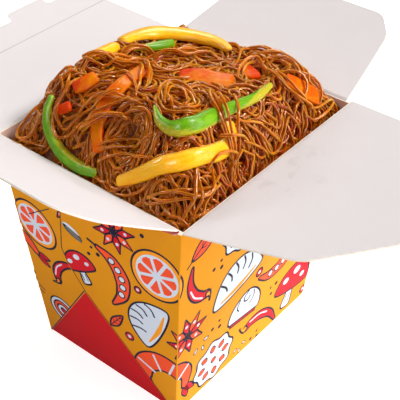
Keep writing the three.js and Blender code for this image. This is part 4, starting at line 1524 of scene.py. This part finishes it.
# Bundles laid last: number of strands, how far they arch up, and their route in plan.
BUNDLES = [
    (3, 0.0, [(-45.9, -3.8), (-43.6, -1.6), (-41.9, -5.0), (-40.3, -11.0), (-39.2, -17.6), (-36.4, -24.0)]),
    (5, 0.5, [(-42.8, 8.9), (-40.5, 11.3), (-37.9, 10.5), (-35.6, 5.4), (-32.6, -1.3), (-30.7, -10.0)]),
    (3, 0.6, [(-26.7, 24.4), (-20.5, 22.6), (-15.5, 18.8), (-13.4, 11.6), (-11.9, 6.4), (-14.8, 2.1),
              (-21.8, -2.5), (-28.5, -3.1)]),
    (1, 0.6, [(-26.8, 13.9), (-23.8, 13.3), (-21.9, 9.1), (-22.2, 4.1), (-26.1, -1.1), (-28.6, -2.7)]),
    (2, 0.4, [(-27.6, 23.3), (-31.1, 21.8), (-34.8, 21.2), (-38.0, 20.8), (-40.4, 19.8), (-41.8, 17.6),
              (-41.4, 15.0), (-39.4, 12.8), (-37.0, 9.6), (-34.4, 4.1), (-31.7, -0.4), (-28.8, -3.5),
              (-22.0, -4.6)]),
    (4, 1.0, [(-29.0, -18.7), (-24.6, -13.4), (-19.6, -10.3), (-15.0, -10.5), (-14.2, -16.3),
              (-19.2, -24.6)]),
    (5, 0.4, [(-4.0, -20.7), (-6.4, -23.2), (-9.4, -25.7), (-12.8, -28.7), (-15.4, -32.4), (-17.0, -36.0),
              (-19.4, -40.6)]),
    (6, 0.3, [(-14.1, -31.1), (-20.4, -31.6), (-26.7, -31.8), (-31.1, -32.3)]),
    (5, 0.8, [(24.9, -18.3), (21.9, -24.6), (21.7, -29.2), (23.8, -32.5), (27.8, -35.3), (31.4, -38.6)]),
    (1, 0.8, [(30.8, -28.4), (32.8, -30.4), (35.8, -32.6), (35.2, -35.0), (31.9, -37.6)]),
    (1, 0.8, [(26.3, -26.1), (28.3, -28.1), (30.4, -30.2), (29.0, -31.9), (25.8, -33.3)]),
    (6, 0.8, [(24.1, -8.3), (29.0, -8.8), (32.2, -13.8), (29.8, -21.9)]),
    (5, 0.8, [(27.4, -14.9), (33.0, -19.0), (33.9, -26.5), (31.5, -31.5)]),
    (7, 0.4, [(6.6, -31.2), (7.4, -34.0), (3.1, -38.4)]),
    (6, 0.4, [(12.2, -31.2), (13.2, -34.9), (9.5, -39.7)]),
    (2, 0.6, [(-13.0, -32.2), (-9.5, -34.8), (-7.1, -37.1), (-5.9, -39.7)]),
    (2, 0.6, [(-22.0, -33.4), (-12.4, -35.0), (-8.9, -36.4), (-6.5, -39.1)]),
    (4, 0.3, [(-43.5, -25.1), (-41.0, -31.5), (-36.4, -35.9), (-30.3, -37.3), (-24.8, -38.2)]),
    (5, 0.4, [(-31.6, -34.6), (-35.6, -36.4), (-39.1, -38.1), (-43.4, -40.3)]),
    (4, 0.3, [(-19.3, 27.4), (-18.4, 21.0), (-11.0, 19.3), (-3.5, 17.6), (2.1, 13.3), (5.1, 8.1)]),
    (4, 0.3, [(-0.9, 13.9), (5.5, 11.4), (9.4, 8.5), (15.9, 5.6), (21.7, 0.3)]),
    (3, 0.6, [(-12.1, -30.9), (-7.8, -33.6), (-2.6, -36.1), (3.2, -39.5)]),
    (2, 0.5, [(24.0, -36.6), (30.7, -38.5), (38.6, -38.3), (46.6, -37.8)]),
    (3, 0.6, [(-44.0, 41.6), (-47.4, 36.0), (-47.8, 28.0), (-46.4, 20.0)]),
    (1, 1.6, [(-35.5, 24.9), (-37.3, 27.3), (-34.7, 33.9), (-33.8, 33.3), (-32.3, 32.5)]),
    (1, 1.2, [(-41.0, 27.0), (-45.0, 30.0), (-44.4, 35.4), (-40.4, 35.8), (-38.6, 31.4)]),
    (2, 0.8, [(18.3, -26.4), (23.5, -21.7), (24.2, -16.4), (17.8, -15.7), (9.3, -20.2), (4.5, -25.5)]),
    (1, 0.6, [(-21.9, -37.7), (-20.2, -36.3), (-13.3, -35.4), (-7.3, -38.0), (-10.9, -39.8), (-17.7, -40.2)]),
]


def core_shape():
    """The filling under the tangle: down to the carton's floor, with the heap's form on top."""
    bm = bmesh.new()
    bmesh.ops.create_grid(bm, x_segments=CORE_GRID[0], y_segments=CORE_GRID[1], size=1)
    for vert in bm.verts:
        x, y = vert.co.x * FOOD[0], vert.co.y * FOOD[1]
        lumps = CORE_LUMP * math.sin(2.1 * x + 0.7 * y) * math.sin(1.9 * y - 0.5 * x)
        vert.co = Vector((x, y, float(heap_top(x, y) - core_depth(x, y)) + lumps))
    border = [edge for edge in bm.edges if edge.is_boundary]
    floor = BOARD + CORE_FLOOR_GAP
    for vert in new_verts(bmesh.ops.extrude_edge_only(bm, edges=border)):
        vert.co.x *= half_x(floor, CORE_INSET[0]) / FOOD[0]
        vert.co.y *= half_y(floor, CORE_INSET[1]) / FOOD[1]
        vert.co.z = floor
    bmesh.ops.contextual_create(bm, geom=[edge for edge in bm.edges if edge.is_boundary])
    bmesh.ops.recalc_face_normals(bm, faces=bm.faces)
    shade_smooth(bm, 50)
    return bm


class NoodlePile:
    """Fills the heap with strands; what is laid is kept as (path in plan, lifts, radius, tint)."""

    STEP = 1.2
    MOST_POINTS = 50000
    # Bundles in a row that may find no room before filling ends.
    MOST_MISSES = 120
    STRAND_STEPS = (18, 70)
    BUNDLE_SIZES = (1, 6)
    BUNDLE_SPACING = 2.2
    # How unevenly a strand bends, and how far it points away from its bundle.
    BEND_WOBBLE = 0.11
    HEADING_WOBBLE = 0.16
    # How much lower than the heap's top strands stay at the back and at the right front edge.
    BACK_DROP = 1.9
    FRONT_DROP = 2.4
    # A strand that lies deeper than this nearly all along can't be seen.
    HIDDEN_DEPTH = 3.4
    HIDDEN_SHARE = 0.95
    BASE_TONE = 0.62

    def __init__(self, settings):
        self.rng = np.random.default_rng(settings.seed)
        self.radius = settings.thickness / MM / 2
        self.limit = [size - self.radius - 0.2 for size in FOOD]
        self.tangle = tangle = Tangle()
        self.laid = []
        self.points = 0
        self.brim = settings.cover - self.BACK_DROP * between(tangle.y, -12, 18)
        self.brim -= self.FRONT_DROP * between(tangle.y, 4 - FOOD[1], -FOOD[1]) * between(tangle.x, -20, 0)
        for centre, radius, rise in MOUNDS:
            self.brim += rise * bowl(centre, radius, tangle.x, tangle.y)
        for centre, radius, hollow, *_ in SWIRLS:
            deep = bowl(centre, radius, tangle.x, tangle.y)
            self.brim = np.where(deep > 0, np.minimum(self.brim, 0.6 - hollow * deep), self.brim)
        self.strips = {name: tangle.near(strip["route"], strip["width"] / 2)
                       for name, strip in STRIPS.items()}
        for name, strip in STRIPS.items():
            low = strip["lift"] - 0.2 * strip["thick"]
            self.brim = np.where(self.strips[name] < 0.9, np.minimum(self.brim, low), self.brim)

    def lay(self, path, radius, tint, **how):
        lifts = self.tangle.lay(path, radius, **how)
        self.tangle.stamp(path, lifts, radius)
        self.laid.append((path, lifts, radius, tint))
        self.points += len(path)

    def lay_low(self, path, radius, tint, over=0.0, least=8):
        """Lays the longest stretch of a strand that stays below the brim; true if there is one."""
        low = self.tangle.lay(path, radius) < self.tangle.at(self.brim, path) + over
        ends = np.flatnonzero(np.diff(np.concatenate([[0], low, [0]])))
        if len(ends) == 0:
            return False
        longest = np.argmax(ends[1::2] - ends[::2])
        start, end = ends[2 * longest], ends[2 * longest + 1]
        if end - start < least:
            return False
        self.lay(path[start:end], radius, tint)
        return True

    def inside(self, points):
        return np.clip(points, [-size for size in self.limit], self.limit)

    def strand_near(self, start, heading, bends, shift):
        """A strand that starts a little beside a place and goes nearly the way of its bundle."""
        rng = self.rng
        aside = np.array([-math.sin(heading), math.cos(heading)]) * shift
        swing = bends + smoothed(rng.normal(0, self.BEND_WOBBLE, len(bends)), 2.5)
        first = rng.integers(0, 8)
        return wander(self.tangle, self.inside(start + aside), heading + rng.normal(0, self.HEADING_WOBBLE),
                      swing[first:], self.STEP, self.limit)

    def fill(self, over, tight, loose, most, draws=30, least=8):
        """Bundles of strands, each begun at the lowest of some random places, until none finds room."""
        rng, tangle = self.rng, self.tangle
        misses = 0
        while misses < self.MOST_MISSES and self.points < most:
            places = rng.integers(0, tangle.top.size, draws)
            room = tangle.top.flat[places] - self.brim.flat[places]
            start = np.unravel_index(places[np.argmin(room)], tangle.top.shape)
            start = np.array([tangle.x[start], tangle.y[start]])
            heading = rng.uniform(0, 2 * math.pi)
            bends = bend_sequence(rng, rng.integers(*self.STRAND_STEPS), self.STEP, tight, loose)
            members = rng.integers(*self.BUNDLE_SIZES)
            found = False
            for member in range(members):
                shift = (member - members / 2) * self.BUNDLE_SPACING * self.radius
                path = self.strand_near(start, heading, bends, shift)
                size = rng.uniform(0.84, 1.16)
                found |= self.lay_low(path, self.radius * size, rng.normal(0, 0.3), over, least)
            misses = 0 if found else misses + 1

    def line_hollows(self, count):
        """Short strands at the bottom of each hollow, as many as a count sets, by the hollow's area."""
        rng = self.rng
        for centre, radius, *_ in SWIRLS:
            for _ in range(int(count * radius ** 2 / 18)):
                start = self.inside(np.array(centre) + rng.uniform(-0.8, 0.8, 2) * radius)
                bends = bend_sequence(rng, rng.integers(4, 11), self.STEP, 1.6, 7)
                path = wander(self.tangle, start, rng.uniform(0, 2 * math.pi), bends, self.STEP, self.limit)
                self.lay_low(path, self.radius * rng.uniform(0.8, 1.0), rng.normal(0.35, 0.3), 0.8, 4)

    def curl(self):
        """Loose rings of strands round each hollow."""
        rng = self.rng
        for centre, _, _, count, radii in SWIRLS:
            slope = np.array([float(value) for value in heap_slope(*centre)])
            for _ in range(count):
                size = rng.uniform(*radii)
                steps = int(rng.uniform(0.3, 0.9) * 2 * math.pi * size / self.STEP)
                heading = rng.uniform(0, 2 * math.pi)
                start = np.array([math.sin(heading), -math.cos(heading)])
                start *= size / math.sqrt(1 + np.dot(slope, start) ** 2)
                bends = 1 / size + smoothed(rng.normal(0, 0.08, steps), 3)
                path = wander(self.tangle, self.inside(np.array(centre) + rng.normal(0, 0.6, 2) + start),
                              heading, bends, self.STEP, self.limit)
                self.lay_low(path, self.radius * rng.uniform(0.85, 1.1), rng.normal(0.1, 0.15), 1.4)

    def cover_strips(self):
        """The tops of the vegetable strips, for what lies over them."""
        for name, strip in STRIPS.items():
            off = self.strips[name]
            crown = strip["lift"] + strip["thick"] / 2 * np.sqrt(np.clip(1 - off ** 2, 0, 1))
            covered = off < 1
            self.tangle.top[covered] = np.maximum(self.tangle.top, crown)[covered]

    def off_strips(self, path):
        """A path without the ends that would lie on a vegetable strip."""
        shares = [self.tangle.at(share, path) for share in self.strips.values()]
        clear = np.flatnonzero(np.min(shares, axis=0) >= 1)
        return path[clear[0]:clear[-1] + 1] if len(clear) else path[:0]

    def drape(self):
        """The bundles that lie over everything else."""
        rng = self.rng
        for count, arch, route in BUNDLES:
            middle = smooth_route(route, self.STEP)
            for _ in range(count):
                spread = smoothed(rng.normal(0, 6, len(middle)), 5) + rng.uniform(-1.1, 1.1) * count
                path = self.inside(beside(middle, spread * self.radius))
                first, last = rng.integers(0, 1 + len(path) // 5, 2) if count > 1 else (0, 0)
                size, tint, rise = rng.uniform(0.85, 1.1), rng.normal(0.3, 0.15), arch * rng.uniform(0.4, 1.4)
                path = self.off_strips(path[first:len(path) - last])
                if len(path) > 8:
                    self.lay(path, self.radius * size, tint, arch=rise)

    def strands(self):
        """What can be seen of what was laid: points, radius and tone.

        A strand is lighter where it lies high and darker where it lies deep, which is painted shade; it is
        also lighter at the left, at the back and a little at the right, and darker along the middle of the
        front wall, which is a painted shadow of that wall.
        """
        seen = []
        for path, lifts, radius, tint in self.laid:
            depth = self.tangle.at(self.tangle.top, path) - lifts
            if np.mean(depth > self.HIDDEN_DEPTH) > self.HIDDEN_SHARE:
                continue
            x, y = path.T
            pale = 0.6 * between(x, -32, -40) + 0.5 * between(y, 4, 14)
            pale += 0.15 * between(x, 2, 16)
            # Painted shadow of the front wall along the middle of its length.
            pale -= 0.5 * between(y, -36, -40) * between(x, -40, -28) * between(x, 34, 26)
            # Painted shade: deeper strands darker, higher ones lighter.
            tone = np.clip(self.BASE_TONE + pale + tint - 0.4 * (depth - radius) + 0.05 * lifts, 0, 1)
            points = within_walls(over_heap(*path.T, lifts), radius)
            steps = np.linalg.norm(np.diff(points, axis=0), axis=1)
            kept = np.concatenate([[True], steps > 0.4])
            if kept.sum() > 4:
                seen.append((points[kept], radius, smoothed(tone, 1.0)[kept]))
        return seen


def batches(strands, most):
    """The strands in runs of at most so many points, so that no piece grows too large."""
    batch, points = [], 0
    for strand in strands:
        if points + len(strand[0]) > most:
            yield batch
            batch, points = [], 0
        batch.append(strand)
        points += len(strand[0])
    yield batch


# Points in one piece of noodles: each makes about a dozen triangles.
PIECE_POINTS = 12000


class NOODLEBOX_OT_noodles(Operator):
    """Pile up the glass noodles over their core"""
    bl_idname = "noodlebox.noodles"
    bl_label = "Glass noodles"

    def execute(self, context):
        settings = context.scene.noodle_noodles
        add_piece("noodle_core", core_shape(), [core_material(settings)], "box", ["noodles"])
        finish = noodle_material("Glass noodle", settings)
        pile = NoodlePile(settings)
        pile.line_hollows(110)
        pile.fill(over=0.0, tight=5, loose=30, most=pile.MOST_POINTS)
        pile.curl()
        pile.fill(over=0.7, tight=2.5, loose=12, most=pile.points + 1500)
        pile.fill(over=0.9, tight=2.5, loose=9, most=pile.points + 1800, draws=400, least=5)
        pile.cover_strips()
        pile.drape()
        for number, batch in enumerate(batches(pile.strands(), PIECE_POINTS), start=1):
            mesh = strands_mesh(f"noodles_{number}", batch)
            mesh.materials.append(finish)
            link_piece(mesh.name, mesh, "box")
        return {"FINISHED"}


# Stage

# Lamps and the camera, in metres and degrees.
KEY_PLACE = (0.38, -0.55, 0.743)
KEY_ANGLE = 16
FRONT_PLACE = (0.3, -0.8, 0.22)
FRONT_SIZE = 0.6
HIGH_PLACES = ((-0.45, -0.15, 0.5), (-0.2, 0.5, 0.5), (0.45, 0.25, 0.55))
GLINT_SIZE = 0.14
SHINE_SIZE = 0.17
LAMP_AIM = 0.1
FLOOR_HALF = 4
# How brightly the floor glows by itself, and as the camera sees it.
FLOOR_GLOW = (0.1, 0.66)
CAMERA_PLACE = (-0.2280, -0.1928, 0.2988)
CAMERA_TURNS = {"azimuth": -51.37, "elevation": 38.48, "roll": 0.65}
CAMERA_LENS = 87.46


def add_lamp(name, kind, power, size, place, shine_only=False):
    """A lamp that looks at the noodles; size is its width, or for a sun the angle that it fills.

    A lamp for shine only is mirrored by glossy surfaces and lights nothing else.
    """
    lamp = bpy.data.lights.new(name, kind)
    lamp.energy = power
    if kind == "SUN":
        lamp.angle = size
    else:
        lamp.size = size
    light = bpy.data.objects.new(name, lamp)
    light.visible_diffuse = not shine_only
    aim = Vector(place) - Vector((0, 0, 0 if kind == "SUN" else LAMP_AIM))
    light.location = place
    light.rotation_euler = aim.to_track_quat("Z", "Y").to_euler()
    bpy.context.scene.collection.objects.link(light)


class NOODLEBOX_OT_stage(Operator):
    """Set the floor, the lights and the camera"""
    bl_idname = "noodlebox.stage"
    bl_label = "Stage"

    def execute(self, context):
        settings = context.scene.noodle_stage
        scene = context.scene
        scene.view_settings.view_transform = "Standard"
        bm = bmesh.new()
        bmesh.ops.create_grid(bm, x_segments=2, y_segments=2, size=FLOOR_HALF)
        mesh = bpy.data.meshes.new("floor")
        bm.to_mesh(mesh)
        bm.free()
        floor = bpy.data.objects.new("floor", mesh)
        scene.collection.objects.link(floor)
        material, graph, shader = new_material("Floor", Roughness=0.9, Emission_Color=(1, 1, 1, 1))
        tint = graph.ramp(graph.noise(graph.place(), 3.0), 0.3, 0.7, 0.99, 1.0)
        seen = graph.add("ShaderNodeLightPath").outputs["Is Camera Ray"]
        graph.tree.links.new(graph.ramp(seen, 0.0, 1.0, *FLOOR_GLOW), shader.inputs["Emission Strength"])
        graph.tree.links.new(graph.mix(tint, (1, 1, 1), tuple(settings.floor)), shader.inputs["Base Color"])
        mesh.materials.append(material)
        world = bpy.data.worlds.new("Studio")
        scene.world = world
        world.use_nodes = True
        sky = world.node_tree.nodes["Background"]
        sky.inputs["Color"].default_value = (1, 1, 1, 1)
        sky.inputs["Strength"].default_value = settings.sky
        add_lamp("key", "SUN", settings.sun, math.radians(KEY_ANGLE), KEY_PLACE)
        add_lamp("front", "AREA", settings.front, FRONT_SIZE, FRONT_PLACE)
        for number, place in enumerate(HIGH_PLACES):
            add_lamp(f"glint_{number}", "AREA", settings.glint, GLINT_SIZE, place)
            add_lamp(f"shine_{number}", "AREA", settings.shine, SHINE_SIZE, place, shine_only=True)
        camera = bpy.data.cameras.new("camera")
        camera.lens = CAMERA_LENS
        camera.sensor_width = 36
        camera.clip_start = 0.01
        seat = bpy.data.objects.new("camera", camera)
        turn, rise, roll = (math.radians(value) for value in CAMERA_TURNS.values())
        back = Vector((math.sin(turn) * math.cos(rise), -math.cos(turn) * math.cos(rise), math.sin(rise)))
        side = Vector((0, 0, 1)).cross(back).normalized()
        up = back.cross(side)
        side, up = side * math.cos(roll) + up * math.sin(roll), up * math.cos(roll) - side * math.sin(roll)
        rows = Matrix((side, up, back)).transposed().to_4x4()
        seat.matrix_world = Matrix.Translation(CAMERA_PLACE) @ rows
        scene.collection.objects.link(seat)
        scene.camera = seat
        return {"FINISHED"}


class NOODLEBOX_PT_panel(Panel):
    """Shows the settings and the steps of the noodle box"""
    bl_idname = "NOODLEBOX_PT_panel"
    bl_label = "Noodle Box"
    bl_space_type = "VIEW_3D"
    bl_region_type = "UI"
    bl_category = "Noodle Box"

    def draw(self, context):
        layout = self.layout
        for name in SETTINGS:
            settings = getattr(context.scene, name)
            box = layout.box()
            for label in settings.bl_rna.properties.keys():
                if label not in ("rna_type", "name"):
                    box.prop(settings, label)
        for step in STEPS:
            layout.operator(step.bl_idname)


SETTINGS = {
    "noodle_board": BoardSettings,
    "noodle_print": PrintSettings,
    "noodle_noodles": NoodleSettings,
    "noodle_vegetables": VegetableSettings,
    "noodle_stage": StageSettings,
}
STEPS = [NOODLEBOX_OT_board_finishes, NOODLEBOX_OT_carton, NOODLEBOX_OT_flaps, NOODLEBOX_OT_creases,
         NOODLEBOX_OT_print, NOODLEBOX_OT_peppers, NOODLEBOX_OT_carrots, NOODLEBOX_OT_noodles,
         NOODLEBOX_OT_stage]


def register():
    for item in [*SETTINGS.values(), *STEPS, NOODLEBOX_PT_panel]:
        bpy.utils.register_class(item)
    for name, kind in SETTINGS.items():
        setattr(bpy.types.Scene, name, PointerProperty(type=kind))


def unregister():
    for name in SETTINGS:
        delattr(bpy.types.Scene, name)
    for item in reversed([*SETTINGS.values(), *STEPS, NOODLEBOX_PT_panel]):
        bpy.utils.unregister_class(item)


def main():
    register()
    bpy.ops.noodlebox.board_finishes()
    bpy.ops.noodlebox.carton()
    bpy.ops.noodlebox.flaps()
    bpy.ops.noodlebox.creases()
    bpy.ops.noodlebox.print()
    bpy.ops.noodlebox.peppers()
    bpy.ops.noodlebox.carrots()
    bpy.ops.noodlebox.noodles()
    bpy.ops.noodlebox.stage()


if __name__ == "__main__":
    main()
